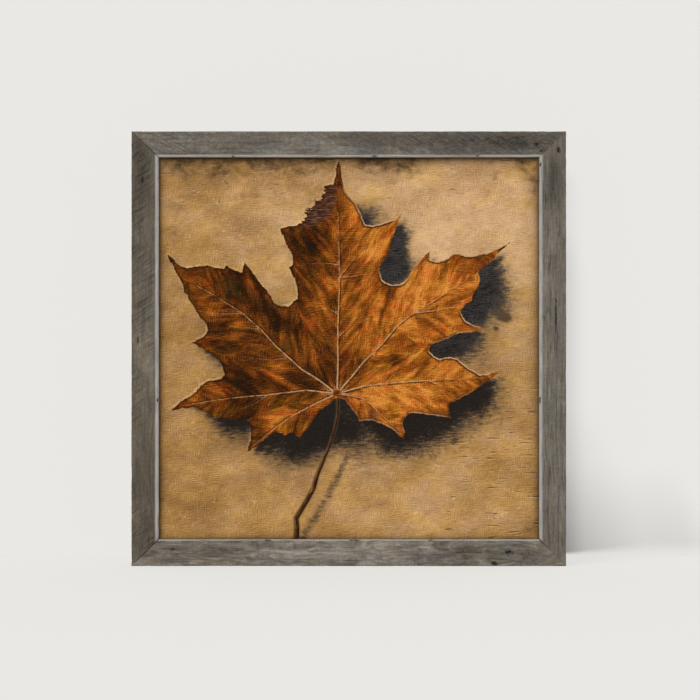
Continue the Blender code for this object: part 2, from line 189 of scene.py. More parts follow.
# Veins: (half width at the base in mm, points from the base outwards), the main ones first
MAIN_VEINS = 8  # brush strokes fan out from these
VEINS = [
    (1.0, [(-14, -53), (-13, -20), (-13, 24), (-11, 80), (-12, 123), (-13, 160)]),
    (1.0, [(-14, -53), (-37, -36), (-55, -25), (-86, 3), (-103, 22), (-126, 42), (-161, 64), (-178, 73)]),
    (1.05, [(-14, -53), (5, -31), (16, -17), (37, 3), (57, 27), (75, 41), (107, 60), (140, 82)]),
    (0.7, [(75, 41), (99, 44), (120, 48), (128, 53)]),
    (0.9, [(-14, -53), (-50, -49), (-100, -55), (-126, -57), (-151, -60), (-194, -67)]),
    (0.95, [(-14, -53), (18, -44), (44, -41), (70, -39), (125, -36), (156, -35)]),
    (0.9, [(-14, -53), (-40, -65), (-70, -81), (-95, -100), (-112, -114)]),
    (0.7, [(-14, -53), (16, -58), (29, -69), (39, -79), (60, -97)]),
    (0.4, [(-12, 98), (-31, 100), (-52, 98)]),
    (0.5, [(-12, 82), (8, 85), (24, 88), (37, 94)]),
    (0.5, [(-12, 82), (10, 110), (22, 124)]),
    (0.45, [(-12, 14), (-4, 21), (11, 38)]),
    (0.4, [(-73, -11), (-90, -14), (-116, -11), (-131, -9)]),
    (0.4, [(-125, 41), (-151, 40), (-178, 44)]),
    (0.35, [(-103, 22), (-120, 24), (-136, 22)]),
    (0.35, [(30, -8), (33, 14), (42, 30)]),
    (0.35, [(94, -38), (112, -46), (124, -56)]),
    (0.35, [(-95, -55), (-112, -66), (-128, -72)]),
    (0.35, [(-13, 40), (-24, 47), (-32, 58)]),
]
LEAF_BASE = VEINS[0][1][0]
STROKE_SLANT = math.radians(38)  # of the strokes to their vein
STEM = (1.9, [
    (-13, -57), (-13, -77), (-17, -97), (-23, -115), (-37, -148), (-41, -163), (-48, -176), (-62, -199),
    (-61, -211), (-62, -226),
])
STEM_SHADOW = (9, [(0, -120), (-10, -145), (-24, -172), (-40, -198), (-54, -222)])

# Light and dark places on the leaf: (right, up, radius, amount), in mm
LEAF_TONES = [
    (-50, 112, 28, -0.14), (-46, 136, 18, -0.12), (-32, 160, 20, -0.08), (-14, 192, 20, -0.08),
    (2, 150, 14, 0.08), (34, 122, 22, 0.16), (38, 74, 14, -0.2), (12, 98, 18, 0.08), (-20, 62, 26, 0.06),
    (-112, 62, 24, -0.17), (-140, 74, 20, -0.14), (-182, 62, 14, 0.06), (-160, 88, 20, -0.08),
    (-128, 26, 13, 0.3), (-166, 34, 18, 0.08), (-84, 36, 20, -0.13), (-66, 8, 20, 0.04),
    (-92, -26, 14, 0.24), (-128, -36, 24, -0.24), (-56, -40, 20, -0.2), (-172, -54, 22, 0.14),
    (-114, -66, 18, -0.12), (-82, -84, 26, 0.34), (-30, -66, 14, 0.12), (-36, 24, 22, 0.06),
    (104, 66, 46, 0.11), (150, 58, 18, -0.1), (160, 100, 18, -0.08), (54, -12, 8, -0.26),
    (88, -20, 10, -0.1), (86, -28, 24, 0.12), (34, -58, 24, 0.2), (74, -52, 26, 0.12), (112, -52, 24, 0.06),
    (28, -84, 12, -0.12), (104, -78, 14, -0.06), (20, 20, 22, 0.03), (4, -20, 18, -0.08),
    (138, 28, 14, -0.14), (64, 28, 18, 0.06), (86, 84, 16, 0.12), (-24, -10, 16, -0.12),
]
# Olive places on the leaf, then purple ones, then what fills out its finest tips
LEAF_MOSS = [
    (-138, 70, 20, 0.9), (-70, 2, 15, 1.0), (56, -14, 9, 0.8), (-114, -66, 16, 0.8),
    (88, -22, 12, 0.8), (-104, 52, 16, 0.5), (-8, 30, 16, 0.5), (14, 62, 14, 0.4), (-34, 96, 14, 0.3),
]
LEAF_PLUM = [
    (-34, 166, 18, 1.2), (-50, 150, 13, 0.7), (-20, 186, 12, 0.6), (29, -80, 17, 0.6),
    (104, -78, 13, 0.6), (94, 100, 18, 0.4), (152, 100, 20, 0.45),
]
LEAF_TIPS = [(-208, 103, 9, 1.5), (-12, 212, 9, 1.3), (184, 121, 8, 0.6), (-58, -103, 5, 0.6)]
# Places on the ground: (right, up, radius, strength), in mm
GROUND_SMUDGES = [
    (-196, 219, 24, 0.9), (-150, 216, 24, 0.8), (-104, 222, 26, 0.9), (-62, 214, 22, 0.7),
    (-30, 226, 20, 0.9), (24, 222, 24, 1.0), (66, 222, 24, 1.0), (110, 228, 22, 0.6), (160, 224, 18, 0.5),
    (205, 216, 16, 0.9), (218, 190, 12, 0.7), (-126, 176, 9, 0.5), (-110, 178, 6, 0.5),
    (-200, 165, 22, 0.4), (174, 44, 10, 1.3), (184, 36, 7, 1.8), (172, 24, 4, 1.4), (178, 58, 8, 0.9),
    (172, 200, 10, 0.45),
    (124, -108, 5, 1.3), (100, -124, 9, 0.9), (190, -82, 9, 0.45), (178, -86, 5, 0.6), (208, -212, 20, 0.5),
    (96, -222, 14, 0.5), (-214, -214, 22, 0.35), (-222, 0, 14, 0.3), (30, -218, 12, 0.4),
    (-104, 142, 14, 0.25),
]
GROUND_LIGHT = [
    (140, 140, 105, 0.27), (-60, 140, 60, 0.1), (80, -180, 100, 0.1), (-215, 40, 60, -0.05),
    (-190, -160, 70, -0.07), (200, -60, 50, -0.02), (-120, 170, 60, 0.03), (206, 60, 40, 0.02),
]
# The painted shadow's layers: the leaf moved (right, up), softened over a width, at a strength
CAST_STEPS = ((7, -7, 3, 1.15), (14, -15, 6, 1.1), (19, -23, 9, 0.9), (24, -32, 12, 0.68))
CAST_POOLS = [
    (28, 158, 13, 0.5), (46, 150, 10, 0.2), (58, 92, 15, 0.8), (54, 116, 11, 0.6), (64, 134, 11, 0.3),
    (156, 84, 14, 0.35), (186, 50, 16, 0.3), (176, 74, 12, 0.2), (166, 64, 18, 0.35),
    (150, 42, 14, 0.6), (112, -2, 12, 0.6), (136, 0, 14, 0.2),
    (150, -64, 18, 0.3), (96, -98, 22, 0.45), (50, -112, 24, 0.6), (4, -98, 20, 0.7),
    (-30, -98, 20, 0.7), (-60, -122, 20, 0.5), (10, -126, 20, 0.35), (-140, -94, 14, 0.2),
    (-194, -84, 20, -1.4), (-176, -88, 12, -0.4), (-112, 88, 16, -1.6), (-94, 66, 14, -1.4),
    (-2, 200, 22, -1.3), (6, 180, 8, -0.5), (196, 106, 12, -0.5), (-176, 60, 30, -0.5),
    (82, 118, 10, -0.6),
]
# Suns: (degrees right, degrees down, degrees wide), and for the wall's own the share of its light. The
# wall's shadows add up to one that is narrow beside the frame and fans out low down.
KEY_SUN = (38, 40, 35)
BACK_SUN = (205, 42, 30)
WALL_SUNS = ((30, 75, 10, 0.3), (60, 67, 5, 0.3), (10, 50, 10, 0.15), (10, 20, 10, 0.1))
STAGE_REACH, WALL_HEIGHT = 9.0, 6.0
# The wall's foot glows in the floor's colour: painted light that lifts the frame's shadow near the floor
FLOOR_EVENNESS, WALL_EVENNESS, FOOT_GLOW = 0.75, 0.11, 0.7
FOOT_LOW, FOOT_HIGH = 4 * MM, 19 * MM  # how high the wall fades into the floor, on the left and right
FOOT_RISE, FOOT_START = 0.145, 0.235  # slope between them, and how far right it starts
CAMERA_RIGHT, CAMERA_DROP = 1.4 * MM, 1.5 * MM


# ---------------------------------------------------------------- fields worked out over surfaces


def smoothly(value, low, high):
    """0 below low, 1 above high, and a smooth ramp between them. low may be the larger."""
    share = np.clip((value - low) / (high - low), 0, 1)
    return share * share * (3 - 2 * share)


def random_field(u, v, seed):
    """Smooth random values from -1 to 1 over a plane, with a bump about every whole step."""
    table = np.random.default_rng(seed).uniform(-1, 1, (256, 256))
    iu, iv = np.floor(u).astype(int), np.floor(v).astype(int)
    fu, fv = u - iu, v - iv
    fu, fv = fu * fu * (3 - 2 * fu), fv * fv * (3 - 2 * fv)
    iu, iv = iu % 256, iv % 256
    ju, jv = (iu + 1) % 256, (iv + 1) % 256
    near = table[iu, iv] * (1 - fu) + table[ju, iv] * fu
    far = table[iu, jv] * (1 - fu) + table[ju, jv] * fu
    return near * (1 - fv) + far * fv


def cloudy_field(u, v, seed, layers=4):
    """Random values with finer and finer detail."""
    total, weight = 0, 0
    for k in range(layers):
        total = total + random_field(u * 2**k, v * 2**k, seed + k) / 2**k
        weight += 1 / 2**k
    return total / weight


def blobs(right, up, places):
    """The sum of soft round spots, each (right, up, radius, amount)."""
    total = np.zeros_like(right)
    for x, z, radius, amount in places:
        total += amount * np.exp(-((right - x) ** 2 + (up - z) ** 2) / radius**2)
    return total


def line_field(right, up, lines):
    """For each point: distance to the nearest line, signed distance, the line's half width there,
    and how far along that line it lies. Lines are (half width at the start, points), and taper."""
    best = np.full(right.shape, 1e9)
    signed, width, along = np.zeros_like(best), np.zeros_like(best), np.zeros_like(best)
    number = np.zeros(right.shape, int)
    for k, (half, points) in enumerate(lines):
        ends = np.array(points, float)
        steps = np.linalg.norm(np.diff(ends, axis=0), axis=1)
        done, total = 0.0, steps.sum()
        for (ax, az), (bx, bz), step in zip(ends[:-1], ends[1:], steps):
            dx, dz = (bx - ax) / step, (bz - az) / step
            px, pz = right - ax, up - az
            t = np.clip(px * dx + pz * dz, 0, step)
            off = np.hypot(px - t * dx, pz - t * dz)
            closer = off < best
            best = np.where(closer, off, best)
            side = np.sign(dx * pz - dz * px)
            signed = np.where(closer, side * off, signed)
            share = (done + t) / total
            width = np.where(closer, half * (1 - 0.72 * share), width)
            along = np.where(closer, done + t, along)
            number = np.where(closer, k, number)
            done += step
    return best, signed, width, along, number


def rough_outline():
    """The leaf's outline with fine, uneven teeth between its main points."""
    ends = np.array(LEAF_OUTLINE, float)
    points = []
    for k, start in enumerate(ends):
        end = ends[(k + 1) % len(ends)]
        span = np.linalg.norm(end - start)
        count = max(2, round(span / EDGE_STEP))
        across = np.array([end[1] - start[1], start[0] - end[0]]) / span
        share = np.arange(count) / count
        calm = np.sin(math.pi * share)
        stray = cloudy_field(share * span / 6.5, np.full(count, 7.3 * k), 101, 3)
        bow = 0.045 * span * random_field(np.full(count, 0.5 * k), np.full(count, 3.5), 55)
        teeth = share * span / EDGE_TOOTH + 0.3 * k
        tooth = (teeth % 1.0) * (0.4 + 0.6 * random_field(np.floor(teeth), np.full(count, 1.7 * k), 77))
        shift = calm * ((EDGE_WANDER * stray + EDGE_CUT * tooth) * min(1, span / 18) + bow)
        points += list(start + share[:, None] * (end - start) + shift[:, None] * across)
    return np.array(points)


def outline_field(right, up, outline):
    """Signed distance to a closed outline, positive inside."""
    best = np.full(right.shape, 1e9)
    inside = np.zeros(right.shape, bool)
    for a, b in zip(outline, np.roll(outline, -1, axis=0)):
        step = b - a
        t = np.clip(((right - a[0]) * step[0] + (up - a[1]) * step[1]) / (step @ step), 0, 1)
        best = np.minimum(best, (right - a[0] - t * step[0]) ** 2 + (up - a[1] - t * step[1]) ** 2)
        crosses = (a[1] > up) != (b[1] > up)
        if crosses.any():
            rise = step[1] if step[1] else 1e-9
            inside ^= crosses & (right < a[0] + (up - a[1]) * step[0] / rise)
    return np.where(inside, 1, -1) * np.sqrt(best)


def shifted(field, cell, right, up):
    """A square field moved right and up by millimetres, with its edge values repeated."""
    rows, columns = np.indices(field.shape)
    u = np.clip(columns - right / cell, 0, field.shape[1] - 1.001)
    v = np.clip(rows - up / cell, 0, field.shape[0] - 1.001)
    iu, iv = u.astype(int), v.astype(int)
    fu, fv = u - iu, v - iv
    low = field[iv, iu] * (1 - fu) + field[iv, iu + 1] * fu
    high = field[iv + 1, iu] * (1 - fu) + field[iv + 1, iu + 1] * fu
    return low * (1 - fv) + high * fv


def softened(field, spread):
    """A field blurred by a bell curve, whose spread is in cells."""
    reach = np.arange(-math.ceil(3 * spread), math.ceil(3 * spread) + 1)
    bell = np.exp(-0.5 * (reach / spread) ** 2)
    bell /= bell.sum()
    for axis in (0, 1):
        field = np.apply_along_axis(np.convolve, axis, field, bell, "same")
    return field


# ---------------------------------------------------------------- shader expressions


def math_node(operation, swapped=False):
    """A method that makes a Math node from its wire and one more value, in order or swapped."""

    def method(self, *others):
        values = (*others, self) if swapped else (self, *others)
        return self.board.node("ShaderNodeMath", {"operation": operation}, values)

    return method


class Wire:
    """A shader socket that Python's operators turn into Math nodes."""

    __add__, __radd__ = math_node("ADD"), math_node("ADD", True)
    __sub__, __rsub__ = math_node("SUBTRACT"), math_node("SUBTRACT", True)
    __mul__, __rmul__ = math_node("MULTIPLY"), math_node("MULTIPLY", True)
    __truediv__, __abs__ = math_node("DIVIDE"), math_node("ABSOLUTE")
    most, least, sine = math_node("MAXIMUM"), math_node("MINIMUM"), math_node("SINE")

    def __init__(self, board, socket):
        self.board = board
        self.socket = socket

    def ramp(self, low, high):
        """0 at low, 1 at high, smooth between. low may be the larger."""
        if low > high:
            return 1 - self.ramp(high, low)
        values = (self, low, high, 0.0, 1.0)
        return self.board.node("ShaderNodeMapRange", {"interpolation_type": "SMOOTHSTEP"}, values)


class Board:
    """A node tree of a material or a world, with short words for the nodes that its finish needs."""

    def __init__(self, name, kind="materials"):
        self.holder = getattr(bpy.data, kind).new(name)
        self.holder.use_nodes = True
        self.tree = self.holder.node_tree
        self.tree.nodes.clear()

    def node(self, kind, settings=None, values=(), out=0):
        """A node's output. Settings go in first, then values or wires by socket number or name."""
        made = self.tree.nodes.new(kind)
        for name, value in (settings or {}).items():
            if name == "stops":
                self.set_stops(made.color_ramp, value)
            else:
                setattr(made, name, value)
        pairs = values.items() if isinstance(values, dict) else enumerate(values)
        for key, value in pairs:
            socket = made.inputs[key]
            if isinstance(value, Wire):
                self.tree.links.new(value.socket, socket)
            else:
                socket.default_value = (*value, 1.0) if socket.type == "RGBA" else value
        return Wire(self, made.outputs[out])

    @staticmethod
    def set_stops(ramp, stops):
        while len(ramp.elements) < len(stops):
            ramp.elements.new(1.0)
        for element, (place, colour) in zip(ramp.elements, stops):
            element.position = place
            element.color = (*colour, 1.0)

    def number(self, name):
        """A number that the mesh carries at its points."""
        return self.node("ShaderNodeAttribute", {"attribute_name": name}, out="Fac")

    def numbers(self, *names):
        return [self.number(name) for name in names]

    def place(self, name=None):
        """Three numbers: the point on the object, or a vector that the mesh carries."""
        if name:
            point = self.node("ShaderNodeAttribute", {"attribute_name": name}, out="Vector")
        else:
            point = self.node("ShaderNodeTexCoord", out="Object")
        return [self.node("ShaderNodeSeparateXYZ", None, [point], out=k) for k in range(3)]

    def noise(self, x, y, z, detail, rough=0.5, warp=0.0):
        """Random clouds from 0 to 1 with a bump about every whole step."""
        values = {
            "Vector": self.node("ShaderNodeCombineXYZ", None, [x, y, z]),
            "Scale": 1.0, "Detail": detail, "Roughness": rough, "Distortion": warp,
        }
        return self.node("ShaderNodeTexNoise", {"noise_dimensions": "3D"}, values)

    def cells(self, x, y, z):
        """Distance to the middle of the nearest of many random cells."""
        point = self.node("ShaderNodeCombineXYZ", None, [x, y, z])
        return self.node("ShaderNodeTexVoronoi", None, {"Vector": point, "Scale": 1.0}, out="Distance")

    def colours(self, value, stops):
        return self.node("ShaderNodeValToRGB", {"stops": stops}, [value])

    def mix(self, factor, first, second, how="MIX"):
        """A colour between two. Colours are wires or (red, green, blue)."""
        settings = {"data_type": "RGBA", "blend_type": how}
        return self.node("ShaderNodeMix", settings, {0: factor, 6: first, 7: second}, out=2)

    def tint(self, colour, tint):
        """A colour seen through a tinted glass."""
        return self.mix(1.0, colour, tint, "MULTIPLY")

    def coats(self, colour, *coats):
        """A colour under coats. Each is (how much of it shows, its colour)."""
        for share, coat in coats:
            colour = self.mix(share, colour, coat)
        return colour

    def bump(self, height, distance, strength=1.0):
        values = {"Height": height, "Distance": distance, "Strength": strength}
        return self.node("ShaderNodeBump", None, values)

    def finish(self, **sockets):
        """The Principled surface. Names are its sockets' with underscores for spaces."""
        values = {name.replace("_", " "): value for name, value in sockets.items()}
        surface = self.node("ShaderNodeBsdfPrincipled", None, values)
        return self.end(surface)

    def end(self, surface, kind="ShaderNodeOutputMaterial"):
        """The material or world, showing this surface."""
        last = self.tree.nodes.new(kind)
        self.tree.links.new(surface.socket, last.inputs["Surface"])
        return self.holder


def shaded(colour, share):
    """A colour made lighter or darker by a factor."""
    return tuple(min(1.0, channel * share) for channel in colour)


def tinted(colour, tint):
    return tuple(min(1.0, a * b) for a, b in zip(colour, tint))


# ---------------------------------------------------------------- settings


def colour_setting(name, about, default):
    return FloatVectorProperty(
        name=name, description=about, default=default, subtype="COLOR", size=3, min=0, max=1
    )


def number_setting(name, about, default, unit="NONE"):
    return FloatProperty(name=name, description=about, default=default, unit=unit, min=0, precision=4)


def length_setting(name, about, default):
    return number_setting(name, about, default, "LENGTH")


class RailSettings(PropertyGroup):
    """The weathered wood of the frame."""

    dark: colour_setting("Dark grain", "Colour down in the grain", (0.035, 0.03, 0.025))
    middle: colour_setting("Middle grain", "Colour of most of the wood", (0.135, 0.119, 0.1))
    light: colour_setting("Light grain", "Colour of the dry, raised grain", (0.27, 0.245, 0.215))
    # The inner edge: pale worn wood, lightened further as a painted highlight
    edge: colour_setting("Inner edge", "Colour of the rubbed inner edge", (0.33, 0.322, 0.308))
    groove: length_setting("Groove depth", "Depth of the open grain", 0.32 * MM)
    saw_depth: length_setting("Saw mark depth", "Depth of the saw marks", 0.11 * MM)
    saw_pitch: length_setting("Saw mark pitch", "Distance between saw marks", 6.0 * MM)


class PictureSettings(PropertyGroup):
    """The paint and the canvas."""

    ground_dark: colour_setting("Ground, dark", "Darkest of the ground", (0.24, 0.122, 0.041))
    ground: colour_setting("Ground", "Most of the ground", (0.45, 0.255, 0.09))
    ground_light: colour_setting("Ground, light", "Lightest of the ground", (0.69, 0.44, 0.205))
    umber: colour_setting("Umber", "Smudges and the leaf's darks", (0.035, 0.02, 0.011))
    rust: colour_setting("Rust", "The leaf's middle tones", (0.125, 0.036, 0.0055))
    orange: colour_setting("Orange", "The leaf's bright tones", (0.5, 0.158, 0.018))
    vein: colour_setting("Vein", "Veins and lit edges", (0.58, 0.345, 0.17))
    shadow: colour_setting("Painted shadow", "Under the leaf", (0.012, 0.009, 0.0075))
    haze: colour_setting("Painted haze", "Round the painted shadow", (0.085, 0.062, 0.042))
    relief: length_setting("Paint relief", "Height of the thickest paint", 0.75 * MM)
    cloth: colour_setting("Bare cloth", "Unpainted back of the canvas", (0.66, 0.60, 0.47))


class BackSettings(PropertyGroup):
    """Bars and fastenings behind the picture."""

    pine: colour_setting("Pine", "Light wood of the bars", (0.63, 0.43, 0.23))
    pine_grain: colour_setting("Pine grain", "Darker rings of the bars", (0.42, 0.23, 0.095))
    zinc: colour_setting("Zinc", "Plated steel of the fastenings", (0.62, 0.63, 0.64))
    rubber: colour_setting("Rubber", "Bumpers", (0.03, 0.03, 0.032))
    edge_round: length_setting("Edge round", "Softening of the cut edges", 0.25 * MM)


class StageSettings(PropertyGroup):
    """Wall, floor, light and camera."""

    wall: colour_setting("Wall", "Colour of the wall", (0.098, 0.0968, 0.0932))
    floor: colour_setting("Floor", "Colour of the floor", (0.815, 0.806, 0.776))
    wall_distance: length_setting("Wall distance", "From the frame's front to the wall", 0.134)
    camera_distance: length_setting("Camera distance", "From the frame's front to the camera", 2.5)
    view_width: length_setting("View width", "Width in view at the frame's front", 0.8175)
    key: number_setting("Key light", "Soft light from the upper left", 1.5)
    wall_light: number_setting("Wall light", "Light on the wall alone", 28.2)
    back_light: number_setting("Back light", "Light on the back", 1.6)
    sky: number_setting("Sky", "Even light from all round", 0.7)


class FramedPrintSettings(PropertyGroup):
    """All settings of the framed print."""

    rails: PointerProperty(type=RailSettings)
    picture: PointerProperty(type=PictureSettings)
    back: PointerProperty(type=BackSettings)
    stage: PointerProperty(type=StageSettings)


# ---------------------------------------------------------------- meshes


def new_piece(name, points, faces, materials):
    mesh = bpy.data.meshes.new(name)
    mesh.from_pydata(points, [], faces)
    mesh.update()
    piece = bpy.data.objects.new(name, mesh)
    bpy.context.scene.collection.objects.link(piece)
    for material in materials:
        mesh.materials.append(material)
    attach(piece, "root")
    return piece


def carry(piece, name, values):
    """Stores one number, or one vector, at each of the piece's points."""
    values = np.asarray(values, np.float32)
    kind, field = ("FLOAT_VECTOR", "vector") if values.ndim == 2 else ("FLOAT", "value")
    piece.data.attributes.new(name, kind, "POINT").data.foreach_set(field, values.ravel())


def shade_round(piece, angle):
    """Shades smoothly, but keeps edges sharp that turn more than an angle in degrees."""
    piece.data.shade_smooth()
    piece.data.set_sharp_from_angle(angle=math.radians(angle))


def line_points(start, end, step):
    """Points from start up to but not at end."""
    count = max(1, round(math.dist(start, end) / step))
    return [tuple(a + (b - a) * k / count for a, b in zip(start, end)) for k in range(count)]


def quarter_points(start, width, depth, steps, falling):
    """A quarter round from start that moves width inward and depth back, or depth forward."""
    points = []
    for k in range(steps):
        angle = math.pi / 2 * k / steps
        quick, slow = math.sin(angle), 1 - math.cos(angle)
        inward, back = (quick, slow) if falling else (slow, -quick)
        points.append((start[0] + width * inward, start[1] + depth * back))
    return points


def rail_section(side):
    """(inward, back) round a rail's section from its outer arris, and how much each point may wear."""
    width, inner = RAIL_WIDTH[side], INNER_ROUND[side]
    front, lip, back = FRAME_FRONT, FRAME_FRONT + LIP, RAIL_BACK
    shown = quarter_points((0, front + OUTER_ROUND), OUTER_ROUND, OUTER_ROUND, 4, False)
    shown += line_points((OUTER_ROUND, front), (width - inner, front), FACE_STEP)
    shown += quarter_points((width - inner, front), inner, INNER_DROP * inner, 9, True)
    shown += line_points((width, front + INNER_DROP * inner), (width, lip), 0.8 * MM)
    hidden = line_points((width, lip), (width - RABBET, lip), 2.5 * MM)
    hidden += line_points((width - RABBET, lip), (width - RABBET, back), 5 * MM)
    land = line_points((width - RABBET, back), (0, back), 1.6 * MM)
    outside = line_points((0, back), (0, front + OUTER_ROUND), 0.9 * MM)
    points = np.array(shown + hidden + land + outside)
    stretches = ((shown, 1.0), (hidden, 0.0), (land, LAND_WEAR), (outside, 1.0))
    wear = np.concatenate([np.full(len(stretch), share) for stretch, share in stretches])
    wear[len(shown) - 1] = wear[len(shown) + len(hidden)] = 0.0
    return points, wear


def section_normals(points):
    """Outward directions of a section that is walked with its solid on the right."""
    ahead, behind = np.roll(points, -1, axis=0), np.roll(points, 1, axis=0)
    run = ahead - behind
    normal = np.stack([run[:, 1], -run[:, 0]], axis=1)
    return normal / np.linalg.norm(normal, axis=1)[:, None]


def worn_depth(look, along, across, settings):
    """How far wear has taken the surface back, its open grain, and how sawn it looks."""
    seed = look["seed"]
    bend = 2.2 * MM * random_field(along / (70 * MM), across / (30 * MM), seed)
    fibre = cloudy_field(along / (34 * MM), (across + bend) / (1.7 * MM), seed + 1, 3)
    grain = smoothly(-fibre, 0.08, 0.62)
    thread = np.abs(random_field(along / (85 * MM), (across + bend) / (3.6 * MM), seed + 9))
    opened = smoothly(random_field(along / (50 * MM), across / (8 * MM), seed + 4), 0.1, 0.5)
    crack = smoothly(thread, 0.075, 0.0) * opened
    angle = math.radians(look["saw_angle"])
    waver = 0.5 * random_field(along / (30 * MM), across / (12 * MM), seed + 5)
    phase = (along * math.cos(angle) + across * math.sin(angle)) / settings.saw_pitch + waver
    slide = across * math.cos(angle) - along * math.sin(angle)
    patchy = random_field(along / (40 * MM), across / (25 * MM), seed + 6)
    sawn = smoothly(patchy, -0.7, 0.3) * look["saw"]
    saw = smoothly(random_field(2.2 * phase, slide / (11 * MM), seed + 8), -0.1, 0.7) * sawn
    swell = 0.5 + 0.5 * random_field(along / (60 * MM), across / (14 * MM), seed + 7)
    depth = 0.12 * MM * swell + settings.groove * grain + settings.saw_depth * saw + 0.45 * MM * crack
    return depth, np.maximum(grain * 0.8, crack), sawn


def damage(look, along, across, inward, width):
    """Knots, nicks and rubbed edges: how deep they go, and how dark they are from 0 to 1."""
    depth, dark = np.zeros_like(along), np.zeros_like(along)
    for x, z, radius in look["knots"]:
        off = np.hypot((along / MM - x) / 1.5, inward / MM - z) / radius
        ring = smoothly(off, 1.25, 0.7)
        depth += 0.35 * MM * ring * (0.6 + 0.4 * np.sin(9 * off))
        dark += 0.92 * smoothly(off, 3.0, 0.2)
    for x, z, length, deep in look["nicks"]:
        off = np.hypot((along / MM - x) / (0.5 * length), (inward / MM - z) / 1.3)
        depth += deep * MM * smoothly(off, 1.0, 0.35)
        dark += 0.8 * smoothly(off, 1.5, 0.2)
    seed = look["seed"] + 20
    inner = smoothly(inward, width - 3.2 * MM, width)
    outer = smoothly(inward, 1.6 * MM, 0)
    ragged = smoothly(cloudy_field(along / (9 * MM), across / (3 * MM), seed, 3), 0.05, 0.55)
    depth += (0.35 * inner + 0.3 * outer) * MM * ragged
    return depth, np.clip(dark, 0, 1)


def rail_ends(side, look, inward, back):
    """Where a rail's two ends lie along it, for each point of its section."""
    k = RING.index(side)
    ends = []
    for sign, other, fit in zip((-1, 1), (RING[k - 1], RING[(k + 1) % 4]), look["fit"]):
        slope = RAIL_WIDTH[other] / RAIL_WIDTH[side]
        steps = np.array(fit) * MM
        stand_back = np.interp(inward, steps[:, 0], steps[:, 1])
        open_front = smoothly(back, FRAME_FRONT + JOINT_DEPTH, FRAME_FRONT + 0.3 * JOINT_DEPTH)
        ends.append(sign * (FRAME_SIDE / 2 - MITRE_GAP - inward * slope - stand_back * open_front))
    return ends


def turned_into_place(side, x, y, z):
    """Points of a side made at the bottom, turned about the frame's middle."""
    angle = math.radians(TURN[side])
    right = x * math.cos(angle) + z * math.sin(angle) + (FRAME_LOW_X + FRAME_HIGH_X) / 2
    up = -x * math.sin(angle) + z * math.cos(angle) + FRAME_CENTRE_Z
    return np.stack([right, y, up], axis=-1)


def worn_rail(side, settings):
    """One mitred rail with its weathered surface in the mesh."""
    look = RAILS[side]
    section, may_wear = rail_section(side)
    normals = section_normals(section)
    travel = np.concatenate([[0], np.cumsum(np.linalg.norm(np.diff(section, axis=0), axis=1))])
    inward = np.clip(section[:, 0], 0, None)
    start, end = rail_ends(side, look, inward, section[:, 1])
    count = round(FRAME_SIDE / RAIL_STEP)
    share = (np.arange(count + 1) / count)[:, None]
    along = start + share * (end - start)
    across = np.broadcast_to(travel, along.shape)
    inside = np.broadcast_to(inward, along.shape)
    worn, hollow, sawn = worn_depth(look, along, across, settings)
    hurt, dark = damage(look, along, across, inside, RAIL_WIDTH[side])
    behind = np.broadcast_to(section[:, 1], along.shape)
    on_face = smoothly(behind, FRAME_FRONT + LIP, FRAME_FRONT + 2 * MM)
    depth = np.clip(worn + hurt * on_face, 0.01 * MM, DEEPEST_WEAR) * may_wear
    back = section[:, 1] - depth * normals[:, 1]
    inner = section[:, 0] - depth * normals[:, 0]
    points = turned_into_place(side, along, back, inner - FRAME_SIDE / 2)
    rows, columns = along.shape
    faces = []
    for i in range(rows - 1):
        for j in range(columns):
            near, far = i * columns, (i + 1) * columns
            k = (j + 1) % columns
            faces.append((near + j, near + k, far + k, far + j))
    faces.append(tuple(range(columns))[::-1])
    faces.append(tuple((rows - 1) * columns + j for j in range(columns)))
    wood = weathered_wood(side, look, settings)
    piece = new_piece("worn_rail_" + side, points.reshape(-1, 3), faces, [wood])
    places = [(x / 4, z, radius, amount) for x, z, radius, amount in look["patches"]]
    patch = blobs(along / (4 * MM), inside / MM, places)
    width, inner_round = RAIL_WIDTH[side], INNER_ROUND[side]
    # The inner round: pale from wear, and lightened as a painted highlight
    rubbed = smoothly(inside, width - 1.05 * inner_round, width - 0.55 * inner_round) * on_face
    carry(piece, "grain", np.stack([along, across, np.full_like(along, look["seed"])], -1).reshape(-1, 3))
    for name, values in (
        ("hollow", hollow), ("dark", dark * on_face), ("sawn", sawn), ("rubbed", rubbed), ("patch", patch),
    ):
        carry(piece, name, values.ravel())
    shade_round(piece, 50)
    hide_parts("frame_rail_" + side)
    return piece


# ---------------------------------------------------------------- wood, cloth and metal


